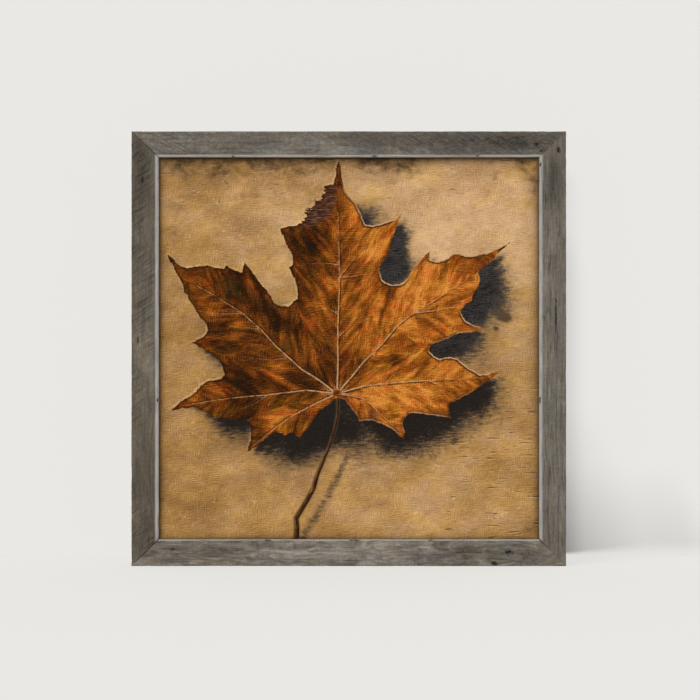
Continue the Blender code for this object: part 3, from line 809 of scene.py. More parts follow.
def weathered_wood(side, look, settings):
    """Grey, dry wood: fibres, stains, saw marks, open grain, and an inner edge that is pale from wear and
    lightened as a painted highlight.
    """
    board = Board("weathered_wood_" + side)
    along, across, seed = board.place("grain")
    hollow, dark, rubbed, patch, sawn = board.numbers("hollow", "dark", "rubbed", "patch", "sawn")
    level = across + board.noise(along / 0.05, across / 0.02, seed, 2) * 0.0045
    fibre = board.noise(along / 0.022, level / 0.0012, seed, 3, 0.6)
    line = abs(board.noise(along / 0.16, level / 0.0036, seed + 3, 2, 0.4) - 0.5).ramp(0.03, 0.0)
    broken = board.noise(along / 0.03, across / 0.006, seed + 4, 1).ramp(0.42, 0.6)
    mottle = board.noise(along / 0.0055, across / 0.0045, seed + 5, 4, 0.62)
    smear = board.noise(along / 0.03, across / 0.009, seed + 7, 4, 0.55, 1.8)
    cloud = board.noise(along / 0.05, across / 0.025, seed + 9, 3, 0.5)
    speck = board.noise(along / 0.0021, across / 0.0012, seed + 11, 2)
    value = (cloud - 0.5) * 0.5 - line * broken * look["line"] + patch + 0.54
    for mark, kind in ((fibre, "fibre"), (mottle, "mottle"), (smear, "smear"), (speck, "speck")):
        value = value + (mark - 0.5) * look[kind]
    angle = math.radians(look["saw_angle"])
    pace = along * math.cos(angle) + across * math.sin(angle)
    slide = across * math.cos(angle) - along * math.sin(angle)
    stroke = board.noise(pace / 0.0019, slide / 0.028, seed + 15, 2, 0.6).ramp(0.47, 0.66)
    value = value - sawn * stroke * (0.2 + mottle) * 0.36
    tint = look["tint"]
    wood = board.colours(value, [
        (0.08, tinted(settings.dark, tint)),
        (0.34, tinted(shaded(settings.middle, 0.68), tint)),
        (0.52, tinted(settings.middle, tint)),
        (0.74, tinted(shaded(settings.light, 0.82), tint)),
        (1.0, tinted(shaded(settings.light, 1.25), tint)),
    ])
    warm = board.noise(along / 0.03, across / 0.012, seed + 13, 3, 0.5, 0.5).ramp(0.4, 0.62)
    wood = board.mix(warm, board.tint(wood, (0.97, 0.985, 1.0)), board.tint(wood, (1.04, 0.99, 0.91)))
    # The inner edge's colour, each rail at its own brightness: pale wear and a painted highlight
    pale = board.colours(fibre.ramp(0.3, 0.7), [
        (0.0, shaded(settings.edge, 0.78 * look["edge"])),
        (1.0, shaded(settings.edge, 1.15 * look["edge"])),
    ])
    ragged = board.noise(along / 0.0022, across / 0.0011, seed + 17, 3, 0.6)
    split = abs(board.noise(along / 0.008, across / 0.0026, seed + 19, 2) - 0.5)
    wood = board.coats(
        wood,
        (hollow * 0.4, settings.dark),
        (rubbed * (1 - hollow * 0.4) * (0.62 + cloud * 0.6).least(0.96), pale),
        (dark.ramp(0.1, 0.8) * 0.35, settings.dark),
        ((dark - split * 9).ramp(0.0, 0.25) * 0.85, shaded(settings.dark, 0.3)),
        ((dark + (ragged - 0.5) * 1.5).ramp(0.74, 0.9) * 0.95, shaded(settings.dark, 0.16)),
    )
    height = fibre * 0.6 + speck * 0.3 + mottle * 0.4 - line * 0.4
    normal = board.bump(height, 0.35 * MM, 0.8)
    roughness = 0.76 + fibre * 0.2
    return board.finish(Base_Color=wood, Roughness=roughness, Normal=normal, Specular_IOR_Level=0.2)


def pine_wood(name, upright, settings):
    """Planed pine with rings along the bar."""
    board = Board(name)
    x, y, z = board.place()
    along, across = (z, x) if upright else (x, z)
    bend = board.noise(along / 0.11, across / 0.04, 3.0, 2) * 0.012
    ring = board.noise(along / 0.4, (across + bend) / 0.0032, y / 0.012, 3, 0.45)
    fibre = board.noise(along / 0.02, across / 0.0006, y / 0.0006, 4)
    stain = board.noise(along / 0.05, across / 0.03, 8.0, 3)
    wood = board.coats(
        settings.pine,
        (ring.ramp(0.42, 0.62), settings.pine_grain),
        ((fibre - 0.4) * 0.5, shaded(settings.pine, 1.15)),
        (stain.ramp(0.55, 0.8) * 0.25, shaded(settings.pine_grain, 0.8)),
    )
    normal = board.bump(fibre * 0.6 + ring * 0.4, 0.12 * MM, 0.7)
    roughness = 0.55 + fibre * 0.2
    return board.finish(Base_Color=wood, Roughness=roughness, Normal=normal, Specular_IOR_Level=0.3)


def zinc_steel(settings):
    """Dull plated steel with fine spangle and scuffs."""
    board = Board("zinc_steel")
    x, y, z = board.place()
    spangle = board.cells(x / 0.0016, y / 0.0016, z / 0.0016)
    scuff = board.noise(x / 0.004, y / 0.004, z / 0.0007, 4, 0.6)
    metal = board.coats(
        settings.zinc,
        (spangle.ramp(0.2, 0.8) * 0.35, shaded(settings.zinc, 0.72)),
        (scuff.ramp(0.58, 0.75) * 0.4, shaded(settings.zinc, 0.55)),
    )
    normal = board.bump(scuff, 0.05 * MM, 0.5)
    return board.finish(Base_Color=metal, Metallic=1.0, Roughness=0.3 + scuff * 0.25, Normal=normal)


def black_rubber(settings):
    """Matte moulded rubber with a little dust."""
    board = Board("black_rubber")
    x, y, z = board.place()
    grit = board.noise(x / 0.0006, y / 0.0006, z / 0.0006, 3)
    dust = board.noise(x / 0.004, y / 0.004, z / 0.004, 4)
    rubber = board.mix(dust.ramp(0.5, 0.75) * 0.35, settings.rubber, (0.16, 0.15, 0.14))
    normal = board.bump(grit, 0.05 * MM)
    roughness = 0.72 + grit * 0.2
    return board.finish(Base_Color=rubber, Roughness=roughness, Normal=normal, Specular_IOR_Level=0.35)


def bare_cloth(settings):
    """Unbleached canvas: a plain weave with slubs and faint stains."""
    board = Board("bare_cloth")
    x, y, z = board.place()
    weave = (x * THREAD_TURN).sine() * (z * THREAD_TURN).sine() * 0.25 + 0.5
    level = board.noise(x / 0.012, z / 0.0009, y / 0.01, 3)
    upright = board.noise(x / 0.0009, z / 0.012, y / 0.01, 3)
    slub = level * 0.5 + upright * 0.5
    stain = board.noise(x / 0.05, z / 0.05, y / 0.05, 4)
    cloth = board.coats(
        settings.cloth,
        (slub.ramp(0.35, 0.65) * 0.5, shaded(settings.cloth, 0.8)),
        ((1 - weave) * 0.4, shaded(settings.cloth, 0.62)),
        (stain.ramp(0.55, 0.75) * 0.3, (0.42, 0.33, 0.21)),
    )
    normal = board.bump(weave * 0.7 + slub * 0.5, 0.2 * MM, 0.9)
    return board.finish(
        Base_Color=cloth, Roughness=0.92, Normal=normal, Specular_IOR_Level=0.15, Sheen_Weight=0.12
    )


# ---------------------------------------------------------------- the picture


def oil_paint(settings):
    """A dry autumn leaf over an ochre ground, brushed thickly on canvas."""
    board = Board("oil_paint")
    x, _, z = board.place()
    right, up = (x - PICTURE_CENTRE.x) / MM, (z - PICTURE_CENTRE.z) / MM
    body = scumble(board, right, up)
    # relief: the brush height a little down and to the right, less the height here. Added into colours, it
    # is painted light and shade on the brushwork, as if lit from the upper left; it also jitters masks
    relief = scumble(board, right + 0.6, up - 0.8) - body
    cloud = board.noise(right / 17, up / 12, 4.0, 4, 0.6, 0.4)
    ground = ground_colour(board, settings, right, up, body, relief, cloud)
    ground = painted_shadow(board, settings, ground, right, up, relief, cloud)
    ground = painted_stem(board, settings, ground, relief)
    leaf, brushed = leaf_colour(board, settings, right, up, relief)
    edge = torn_edge(board, right, up)
    paint = board.mix(edge.ramp(-0.25, 0.3), ground, leaf)
    # Painted shade: the border darkens beside the rails, where their shadow falls
    paint = board.mix(board.number("soot") * (0.7 + body * 0.35), paint, shaded(settings.umber, 0.4))
    is_leaf = edge.ramp(-0.3, 0.6)
    height = body * 0.6 + brushed * is_leaf * 0.6 + is_leaf * 0.5
    normal = board.bump(height, 0.5 * MM, 0.6)
    return board.finish(
        Base_Color=paint, Roughness=0.6 + cloud * 0.25, Normal=normal, Specular_IOR_Level=0.02
    )


def scumble(board, right, up):
    """Height of the ground's brushwork: short level strokes, upright ones in places, weave and grit."""
    level = board.noise(right / 8, up / 1.05, 0.0, 2, 0.6)
    upright = board.noise(right / 1.05, up / 9, 5.0, 2, 0.6)
    grit = board.noise(right / 1.1, up / 1.0, 6.0, 2)
    crossed = board.noise(right / 24, up / 20, 9.0, 1).ramp(0.4, 0.6)
    return level * (0.75 - crossed * 0.35) + upright * (crossed * 0.5 + 0.25) + grit * 0.5


def torn_edge(board, right, up):
    """Distance into the leaf in mm, with a wavering outline and strokes dragged past it at the top."""
    waver = (board.noise(right / 3.2, up / 2.6, 12.0, 2, 0.45) - 0.5) * 2.2
    drag = (board.noise(right / 8, up / 1.7, 13.0, 2) - 0.5) * 13 * board.number("plum").ramp(0.3, 0.9)
    return board.number("leaf_edge") + waver + drag


def ground_colour(board, settings, right, up, body, relief, cloud):
    """Ochre scumbled in short strokes, lighter to the upper right, with smudges and scratches."""
    broad = board.noise(right / 60, up / 42, 2.0, 3)
    # relief here is painted light and shade on the ground's strokes
    light = (broad - 0.5) * 0.6 + (cloud - 0.5) * 0.26 + (body - 0.78) * 0.45 + relief * 1.1
    light = light + board.number("lean") + 0.455
    ground = board.colours(light, [
        (0.0, shaded(settings.ground_dark, 0.45)),
        (0.25, settings.ground_dark),
        (0.5, settings.ground),
        (0.76, settings.ground_light),
        (1.0, shaded(settings.ground_light, 1.35)),
    ])
    hue = board.noise(right / 38, up / 27, 15.0, 2, 0.6) + board.number("lean") * 0.5 + up * 0.0002
    golden, ashen = board.tint(ground, (1.03, 0.995, 0.86)), board.tint(ground, (0.95, 0.95, 1.1))
    smoke = board.noise(right / 11, up / 8, 21.0, 4, 0.6, 0.4)
    smudge = board.number("smudge") * (smoke * 1.7 + 0.05) + (smoke - 0.68) * 0.6 + relief * 0.35
    halo = board.number("halo") * torn_edge(board, right, up).ramp(-3.0, -1.6)
    ground = board.coats(
        golden,
        (hue.ramp(0.36, 0.7), ashen),
        (smudge.ramp(0.08, 1.1) * 0.85, settings.umber),
        (halo * body.ramp(0.6, 0.95) * 0.5, shaded(settings.ground_light, 1.2)),
    )
    return scratched(board, settings, ground, right, up)


def scratched(board, settings, ground, right, up):
    """Curved scratches with a painted highlight beside each, and level cracks with a painted highlight on
    their lip, most of them to the lower right.
    """
    swing = board.noise(right / 13, up / 9, 35.0, 1, 0.5, 1.2)
    some = board.noise(right / 15, up / 12, 36.0, 1)
    scratch = abs(swing - 0.5).ramp(0.02, 0.004) * some.ramp(0.58, 0.68)
    # A pale line just beside each scratch: a painted highlight
    scratch_highlight = abs(swing - 0.525).ramp(0.02, 0.004) * some.ramp(0.58, 0.68)
    place = board.noise(right / 20, up / 9, 33.0, 2) + board.number("worn") * 0.2
    here = place.ramp(0.66, 0.74)
    line = board.noise(right / 26, up / 2.1, 31.0, 1)
    # The crack's lip, a painted highlight above its dark line
    lip = board.noise(right / 26, (up + 1.1) / 2.1, 31.0, 1)
    return board.coats(
        ground,
        (scratch_highlight * 0.5, shaded(settings.ground_light, 1.2)),
        (scratch * 0.5, shaded(settings.ground_dark, 0.5)),
        (lip.ramp(0.6, 0.68) * here * 0.5, shaded(settings.ground_light, 1.15)),
        (line.ramp(0.6, 0.68) * here * 0.8, settings.umber),
    )


def painted_shadow(board, settings, ground, right, up, relief, cloud):
    """The blue-black shadow that the leaf throws down and to the right, dry-brushed at its edge."""
    feather = board.noise(right / 8, up / 4.5, 41.0, 4, 0.65, 0.3)
    drawn = board.noise(right / 10, up / 1.6, 42.0, 2, 0.6)
    depth = board.number("cast") + feather - 0.5 + (drawn - 0.5) * 0.8 + relief
    blue = (drawn + cloud * 0.6 + relief * 1.6).ramp(0.66, 1.05) * board.number("chill")
    dry = (drawn * 0.7 + feather * 0.3 + relief * 1.2).ramp(0.46, 0.74)
    black = board.coats(
        settings.shadow,
        (dry * 0.4, (0.03, 0.025, 0.022)),
        (blue * 0.8, (0.058, 0.056, 0.056)),
    )
    return board.coats(
        ground,
        (depth.ramp(0.0, 0.85) * 0.88, settings.haze),
        (depth.ramp(0.42, 1.02) * 0.98, black),
    )


def painted_stem(board, settings, ground, relief):
    """The stem: two twisted strands, lit on the left and dark on the right."""
    side, gap, width, along = board.numbers("stem_side", "stem_gap", "stem_width", "stem_along")
    width = width + relief * 1.5
    grain = board.noise(along / 10, side / 0.8, 51.0, 2)
    twist = abs(side - (board.noise(along / 26, 0.0, 52.0, 1) - 0.5) * 6).ramp(0.7, 0.1)
    body = board.colours(side / width * 0.4 + 0.36 + (grain - 0.5) * 1.9, [
        (0.0, (0.012, 0.005, 0.003)),
        (0.3, (0.05, 0.018, 0.006)),
        (0.6, (0.11, 0.038, 0.01)),
        (0.86, (0.36, 0.16, 0.05)),
        (1.0, (0.17, 0.06, 0.016)),
    ])
    past = gap - width
    body = board.coats(
        body,
        (twist * 0.7, (0.03, 0.012, 0.005)),
        (past.ramp(-0.9, -0.2) * 0.75, (0.025, 0.01, 0.004)),
    )
    return board.coats(ground, (past.ramp(2.0, -0.1) * 0.6, settings.haze), (past.ramp(0.3, -0.35), body))


def leaf_strokes(board, run, over, seed):
    """Height of the strokes that fan out from a vein: fine hairs of the brush over long, soft ones."""
    hair = board.noise(run / 6, over / 1.5, seed, 2, 0.6)
    broad = board.noise(run / 24, over / 6, seed + 6, 2, 0.5, 0.6)
    return hair * 0.22 + broad * 0.98


def leaf_colour(board, settings, right, up, relief):
    """Strokes that fan out from the veins, in browns on the left and oranges on the right."""
    run, over, seed = board.place("sweep")
    brushed = leaf_strokes(board, run, over, seed)
    lit = leaf_strokes(board, run + 0.5, over - 0.9, seed) - brushed
    patch = board.noise(right / 26, up / 19, 61.0, 3, 0.5, 0.8)
    mottle = board.noise(right / 5.5, up / 4, 64.0, 3, 0.6, 0.5)
    swept = board.noise(run / 36, over / 11, seed + 20, 3, 0.5, 0.5)
    # relief and lit are painted light and shade on the strokes, as if lit from the upper left
    tone = board.number("tone") + (brushed - 0.6) * 0.6 + lit * 0.6 + relief * 0.95
    tone = tone + (patch - 0.5) * 0.42 + (swept - 0.5) * 1.05 + (mottle - 0.5) * 0.3
    leaf = board.colours(tone, [
        (0.0, shaded(settings.umber, 0.4)),
        (0.2, (0.036, 0.0115, 0.0025)),
        (0.42, settings.rust),
        (0.62, (0.285, 0.074, 0.007)),
        (0.8, settings.orange),
        (1.0, (0.74, 0.3, 0.055)),
    ])
    hue = board.noise(right / 20, up / 14, 63.0, 3, 0.6, 0.6) + (swept - 0.5) * 0.25
    for low, high, tint in ((0.52, 0.66, (1.0, 0.68, 0.72)), (0.47, 0.34, (0.86, 1.06, 0.72))):
        leaf = board.mix(hue.ramp(low, high) * 0.8, leaf, board.tint(leaf, tint))
    moss = board.number("moss") * 0.75 + (swept - 0.5) * 1.3 + (mottle - 0.5) * 0.9
    plum = board.number("plum") * (0.5 + mottle)
    streak = board.noise(right / 9, up / 1.9, 66.0, 3, 0.6, 0.5)
    veil = board.colours(streak, [
        (0.38, (0.02, 0.0085, 0.0055)),
        (0.54, (0.08, 0.035, 0.023)),
        (0.7, (0.24, 0.135, 0.095)),
    ])
    edge = torn_edge(board, right, up)
    burnt = edge.ramp(4.5, 0.2) * (patch + board.number("halo") * 0.4).ramp(0.42, 0.6)
    curl = board.number("rim") * (patch + lit * 0.5).ramp(0.3, 0.42)
    inset = board.number("leaf_edge") + (mottle - 0.5) * 2.6
    leaf = board.coats(
        leaf,
        (moss.ramp(0.38, 0.95) * 0.55, (0.075, 0.05, 0.008)),
        (plum.ramp(0.3, 0.85) * 0.8, veil),
        (burnt * 0.85, (0.026, 0.008, 0.003)),
        (curl * inset.ramp(4.2, 2.6) * inset.ramp(1.0, 1.9) * 0.85, (0.045, 0.013, 0.005)),
        (curl * inset.ramp(1.9, 1.0) * 0.9, settings.vein),
    )
    return painted_veins(board, settings, leaf, relief, mottle), brushed


def painted_veins(board, settings, leaf, relief, mottle):
    """Pale veins, broken here and there, each with a dark stroke beside it."""
    side, gap, width, along = board.numbers("vein_side", "vein_gap", "vein_width", "vein_along")
    fork = board.number("fork")
    worn = board.noise(along / 11, side / 3, 81.0, 2, 0.6)
    near = gap.ramp(4.5, 3.0) * fork.ramp(0.3, 0.9)
    dark = (abs(side + 1.5) - width).ramp(0.7, -0.4) * near * (worn + width * 0.14).ramp(0.44, 0.64)
    line = (abs(side + relief * 0.8) - width).ramp(0.25, -0.35) * near
    clean = (mottle + relief + width * 0.2).ramp(0.4, 0.75)
    pale = board.mix(clean, (0.33, 0.14, 0.045), settings.vein)
    return board.coats(
        leaf,
        (dark * 0.9, (0.028, 0.01, 0.0035)),
        (line * (worn + width * 0.17).ramp(0.42, 0.64) * 0.9, pale),
        ((fork + relief).ramp(0.22, 0.0) * 0.8, (0.03, 0.011, 0.004)),
    )


def picture_fields(right, up, cell):
    """Everything that the paint is mixed and raised by, at each point of the painted face, in mm."""
    edge = outline_field(right, up, rough_outline()) + blobs(right, up, LEAF_TIPS)
    gap, side, width, along, _ = line_field(right, up, VEINS)
    _, main_side, _, main_along, number = line_field(right, up, VEINS[:MAIN_VEINS])
    stem_gap, stem_side, _, stem_along, _ = line_field(right, up, [STEM])
    shade_gap = line_field(right, up, [STEM_SHADOW])[0]
    rise, lean_out = np.gradient(softened(edge, RIM_BLUR / cell), cell)
    upward = -(rise * 0.92 + lean_out * 0.25)
    leftward = lean_out * 0.75 - rise * 0.65
    on_right = smoothly(right, -30, 25)
    away = np.abs(main_side)
    run = main_along * math.cos(STROKE_SLANT) + away * math.sin(STROKE_SLANT)
    over = main_along * math.sin(STROKE_SLANT) - away * math.cos(STROKE_SLANT)
    seed = 5.0 * number + 2.5 * (main_side > 0)
    fork = np.hypot(right - LEAF_BASE[0], up - LEAF_BASE[1])
    foot = np.exp(-((up - STEM[1][-1][1]) / 16) ** 2)
    return {
        "leaf_edge": edge,
        "vein_gap": gap,
        "vein_side": side,
        "vein_width": width,
        "vein_along": along,
        "fork": smoothly(fork, 1.5, 8),
        "stem_gap": stem_gap,
        "stem_side": -stem_side,
        "stem_width": STEM[0] - 0.5 + 1.3 * smoothly(up, -90, -200) + 0.5 * foot,
        "stem_along": stem_along,
        "tone": 0.37 + 0.26 * smoothly(right, -60, 40) + blobs(right, up, LEAF_TONES),
        "moss": blobs(right, up, LEAF_MOSS),
        "plum": blobs(right, up, LEAF_PLUM),
        "smudge": blobs(right, up, GROUND_SMUDGES),
        "lean": blobs(right, up, GROUND_LIGHT),
        "soot": painted_rail_shade_field(right, up),
        "worn": smoothly(right, 0, 190) * smoothly(up, 60, -160) + 0.35 * smoothly(up, 130, 190),
        "rim": smoothly(upward, 0.2, 0.75) * on_right + 0.5 * smoothly(-upward, 0.5, 0.9) * on_right,
        "halo": smoothly(leftward, 0.2, 0.8) * (1 - on_right) + 0.4 * smoothly(upward, 0.5, 0.9),
        "chill": smoothly(up, -70, 50) + 0.12,
        "cast": cast_field(edge, shade_gap, cell, right, up),
        "sweep": np.stack([run, over, seed], axis=-1),
    }


def painted_rail_shade_field(right, up):
    """Painted shade on the picture's border beside the frame, where the rails' shadow falls, strongest at
    the top.
    """
    half_wide, _, half_high = (OPENING_HIGH - OPENING_LOW) / (2 * MM)
    waver = 1 + 0.25 * cloudy_field(right / 30 + 20, up / 30 + 20, 401, 3)
    total = 0
    for gap, strength, reach in (
        (half_high - up, 0.95, 6.5), (half_wide + right, 0.8, 4.5),
        (half_wide - right, 0.8, 5.5), (half_high + up, 0.6, 3.2),
    ):
        total = np.maximum(total, strength * np.exp(-np.clip(gap, 0, None) / (reach * waver)))
    return total


def cast_field(edge, shade_gap, cell, column, row):
    """How deep the painted shadow lies: the leaf's shape swept down and to the right, softening."""
    inside = smoothly(edge, -cell, cell)
    cast = np.zeros_like(edge)
    for right, up, blur, share in CAST_STEPS:
        cast = np.maximum(cast, share * shifted(softened(inside, blur / cell), cell, right, up))
    from_stem = 0.55 * smoothly(shade_gap, STEM_SHADOW[0], 0)
    return np.maximum(cast + blobs(column, row, CAST_POOLS), from_stem)


def paint_relief(fields, right, up):
    """Height of the paint, from 0 to about 1."""
    edge = fields["leaf_edge"]
    leaf = smoothly(edge, -0.8, 1.6)
    run, over = fields["sweep"][..., 0], fields["sweep"][..., 1]
    strokes = cloudy_field(run / 12 + 40, over / 3.4 + 40 + fields["sweep"][..., 2], 201, 2)
    level = cloudy_field(right / 14 + 60, up / 3.6 + 60, 211, 2)
    upright = cloudy_field(right / 3.6 + 90, up / 13 + 90, 221, 2)
    curl = np.exp(-(((edge - 2.2) / 1.8) ** 2)) * (0.25 + 0.5 * fields["rim"])
    vein = np.exp(-((fields["vein_gap"] / 1.5) ** 2)) * smoothly(fields["vein_width"], 0, 0.6)
    stem = np.sqrt(np.clip(1 - (fields["stem_gap"] / (fields["stem_width"] + 0.9)) ** 2, 0, 1))
    height = 0.16 + 0.055 * (level + upright) + leaf * (0.22 + 0.1 * strokes + 0.3 * curl + 0.34 * vein)
    return np.clip(np.maximum(height, 0.75 * stem * (1 - leaf) + height * (1 - stem)), 0, 1)


def square_rim(cells):
    """Rows and columns of a square grid's outer points, in order round it."""
    run = np.arange(cells)
    last = np.full(cells, cells)
    none = np.zeros(cells, int)
    rows = np.concatenate([none, run, last, cells - run])
    columns = np.concatenate([run, last, cells - run, none])
    return rows, columns


def flap_loops(half, front, back):
    """(half width, depth) of each loop of cloth behind the painted face, out to the flap's cut edge."""
    bend = [math.pi / 2 * k / 3 for k in (1, 2, 3)]
    curve = [(WRAP_ROUND * (1 - math.sin(a)), WRAP_ROUND * (1 - math.cos(a))) for a in bend]
    loops = [(half - ahead, front + turned) for ahead, turned in curve]
    loops += [(half, front + (back - front) * 0.5), (half, back - WRAP_ROUND)]
    loops += [(half - turned, back - ahead) for ahead, turned in curve]
    start, inner = half - WRAP_ROUND, half - FLAP
    loops += [(start + (inner - start) * k / FLAP_STEPS, back) for k in range(1, FLAP_STEPS + 1)]
    return loops


def folded(loop, half, full, back):
    """Where the flap's loop lies once its corners are folded: a doubled layer and a rolled edge."""
    inward = full - half
    past = full - np.abs(loop).min(axis=1) - inward
    level = np.abs(loop[:, 1]) >= np.abs(loop[:, 0])
    layer = smoothly(past, FOLD_WIDTH + MM, FOLD_WIDTH - MM) * level * FOLD_LAYER
    roll = np.exp(-(((past - 1.2 * MM) / (1.3 * MM)) ** 2)) * FOLD_ROLL
    ripple = 0.1 * MM * random_field(loop[:, 0] / (14 * MM) + 30, loop[:, 1] / (14 * MM) + 30, 301)
    return np.full(len(loop), back) + (layer + roll + ripple) * smoothly(inward, 0, 4 * MM)


def wrapped_canvas(settings):
    """One closed sheet: the painted face, its wrapped edges, the stapled flaps, and the bare back."""
    half = (CANVAS_HIGH.x - CANVAS_LOW.x) / 2
    middle = (CANVAS_LOW + CANVAS_HIGH) / 2
    front, back = CANVAS_LOW.y, CANVAS_HIGH.y
    face = half - WRAP_ROUND
    line = np.linspace(-face, face, PICTURE_CELLS + 1)
    x, z = np.meshgrid(line, line)
    right, up = x / MM, z / MM
    fields = picture_fields(right, up, (line[1] - line[0]) / MM)
    opening = (OPENING_HIGH - OPENING_LOW) / 2
    clear = np.minimum(opening.x - np.abs(x), opening.z - np.abs(z))
    height = settings.relief * paint_relief(fields, right, up) * smoothly(clear, 0, 2.5 * MM)
    points = [np.stack([x, front - height, z], -1).reshape(-1, 3)]
    rows, columns = square_rim(PICTURE_CELLS)
    rim = np.stack([x, z], -1)[rows, columns]
    order = [rows * (PICTURE_CELLS + 1) + columns]
    loops = flap_loops(half, front, back)
    total = points[0].shape[0]

    def add_loop(size, depth):
        flat = rim * (size / face)
        points.append(np.stack([flat[:, 0], np.broadcast_to(depth, len(flat)), flat[:, 1]], -1))
        order.append(total + len(rim) * (len(order) - 1) + np.arange(len(rim)))
        return flat

    for size, depth in loops:
        flat = add_loop(size, depth)
        if depth == back:
            points[-1][:, 1] = folded(flat, size, half, back)
    cut = FLAP_FRAY * random_field(np.arange(len(rim)) / 9.0, np.full(len(rim), 3.5), 311)
    shape = points[-1]
    shape[:, [0, 2]] *= (1 + cut / (half - FLAP))[:, None]
    points.append(shape - (0, SHEET, 0))
    order.append(total + len(rim) * (len(order) - 1) + np.arange(len(rim)))
    add_loop(half - SHEET, back - SHEET)
    add_loop(half - SHEET, front + SHEET)
    faces = grid_faces(PICTURE_CELLS)
    painted = len(faces) + 4 * len(rim)
    for near, far in zip(order[:-1], order[1:]):
        a, b = np.roll(near, -1), np.roll(far, -1)
        faces += [tuple(map(int, f)) for f in zip(near, far, b, a)]
    faces.append(tuple(int(k) for k in order[-1][::-1]))
    points = np.concatenate(points) + np.array([middle.x, 0, middle.z])
    materials = [oil_paint(settings), bare_cloth(settings)]
    piece = new_piece("painted_canvas", points, faces, materials)
    slots = np.ones(len(faces), np.int32)
    slots[:painted] = 0
    piece.data.polygons.foreach_set("material_index", slots)
    for name, values in fields.items():
        values = values.reshape(total, -1)
        more = values[order[0]]
        values = np.concatenate([values] + [more] * (len(order) - 1))
        carry(piece, name, values if values.shape[1] == 3 else values[:, 0])
    turn_outwards(piece)
    shade_round(piece, 40)
    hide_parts("canvas")
    return piece


def grid_faces(cells):
    """Squares of a grid whose rows go up and whose columns go right, seen from the front."""
    corner = np.arange(cells * (cells + 1)).reshape(cells, cells + 1)[:, :-1].ravel()
    wide = cells + 1
    return [(int(k), int(k + 1), int(k + wide + 1), int(k + wide)) for k in corner]


def turn_outwards(piece):
    shell = bmesh.new()
    shell.from_mesh(piece.data)
    bmesh.ops.recalc_face_normals(shell, faces=shell.faces)
    shell.to_mesh(piece.data)
    shell.free()


# ---------------------------------------------------------------- behind the picture


def soften(node, width):
    """Takes the sharpness off a CAD piece's cut edges."""
    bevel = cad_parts[node].modifiers.new("soft_edges", "BEVEL")
    bevel.width = width
    bevel.segments = 2
    bevel.limit_method = "ANGLE"
    bevel.angle_limit = math.radians(40)
    bevel.harden_normals = False


def dress(node, material):
    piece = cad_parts[node]
    piece.data.materials.clear()
    piece.data.materials.append(material)


def nodes_named(*starts):
    return [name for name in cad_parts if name.startswith(starts)]


# ---------------------------------------------------------------- stage


def stage_plane(name, points, material):
    mesh = bpy.data.meshes.new(name)
    mesh.from_pydata(points, [], [(0, 1, 2, 3)])
    plane = bpy.data.objects.new(name, mesh)
    bpy.context.scene.collection.objects.link(plane)
    mesh.materials.append(material)
    return plane


def bright_floor(colour):
    """A pale floor. Seen straight, it is partly evened out, as a lit sweep of paper is."""
    board = Board("bright_floor")
    plain = board.node("ShaderNodeBsdfDiffuse", None, {"Color": colour})
    even = board.node("ShaderNodeEmission", None, {"Color": colour, "Strength": 1.0})
    seen = board.node("ShaderNodeLightPath", out="Is Camera Ray")
    return board.end(board.node("ShaderNodeMixShader", None, {0: seen * FLOOR_EVENNESS, 1: plain, 2: even}))


def one_sided_wall(colour, foot_colour):
    """A wall that only its front shows, and that lets light reach the back of the object. Its foot
    glows in the floor's colour, higher up the further right: painted light that lifts the frame's shadow
    there."""
    board = Board("wall_front")
    x, _, z = board.place()
    # foot: painted light, a glow in the floor's colour towards the floor that lifts the frame's shadow
    # there
    foot = (z / ((x - FOOT_START) * FOOT_RISE).most(FOOT_LOW).least(FOOT_HIGH)).ramp(1.0, 0.0)
    plain = board.node("ShaderNodeBsdfDiffuse", None, {"Color": colour})
    even = board.node("ShaderNodeEmission", None, {"Color": foot_colour, "Strength": 1.0})
    evenness = foot * FOOT_GLOW + WALL_EVENNESS
    front = board.node("ShaderNodeMixShader", None, {0: evenness, 1: plain, 2: even})
    clear = board.node("ShaderNodeBsdfTransparent")
    seen = board.node("ShaderNodeLightPath", out="Is Camera Ray")
    behind = board.node("ShaderNodeNewGeometry", out="Backfacing")
    shown = seen * (1 - behind)
    return board.end(board.node("ShaderNodeMixShader", None, {0: shown, 1: clear, 2: front}))


def sun(name, right, down, spread, strength, planes=(), use="INCLUDE"):
    """A wide, soft sun that travels right of and down from straight ahead, in degrees.
    Its light falls on the given planes alone, or on all but them."""
    light = bpy.data.lights.new(name, "SUN")
    light.angle = math.radians(spread)
    light.energy = strength
    lamp = bpy.data.objects.new(name, light)
    bpy.context.scene.collection.objects.link(lamp)
    right, down = math.radians(right), math.radians(down)
    level = math.cos(down)
    travel = Vector((math.sin(right) * level, math.cos(right) * level, -math.sin(down)))
    lamp.rotation_euler = travel.to_track_quat("-Z", "Y").to_euler()
    if planes:
        group = bpy.data.collections.new(name + "_planes")
        for plane in planes:
            group.objects.link(plane)
        for member in group.collection_objects:
            member.light_linking.link_state = use
        lamp.light_linking.receiver_collection = group


def even_sky(strength, seen_colour):
    """Even light from all round. Where it is seen past the wall, it looks like the floor."""
    board = Board("even_sky", "worlds")
    light = board.node("ShaderNodeBackground", None, {"Color": (1, 1, 1), "Strength": strength})
    shown = board.node("ShaderNodeBackground", None, {"Color": seen_colour})
    seen = board.node("ShaderNodeLightPath", out="Is Camera Ray")
    either = board.node("ShaderNodeMixShader", None, {0: seen, 1: light, 2: shown})
    bpy.context.scene.world = board.end(either, "ShaderNodeOutputWorld")


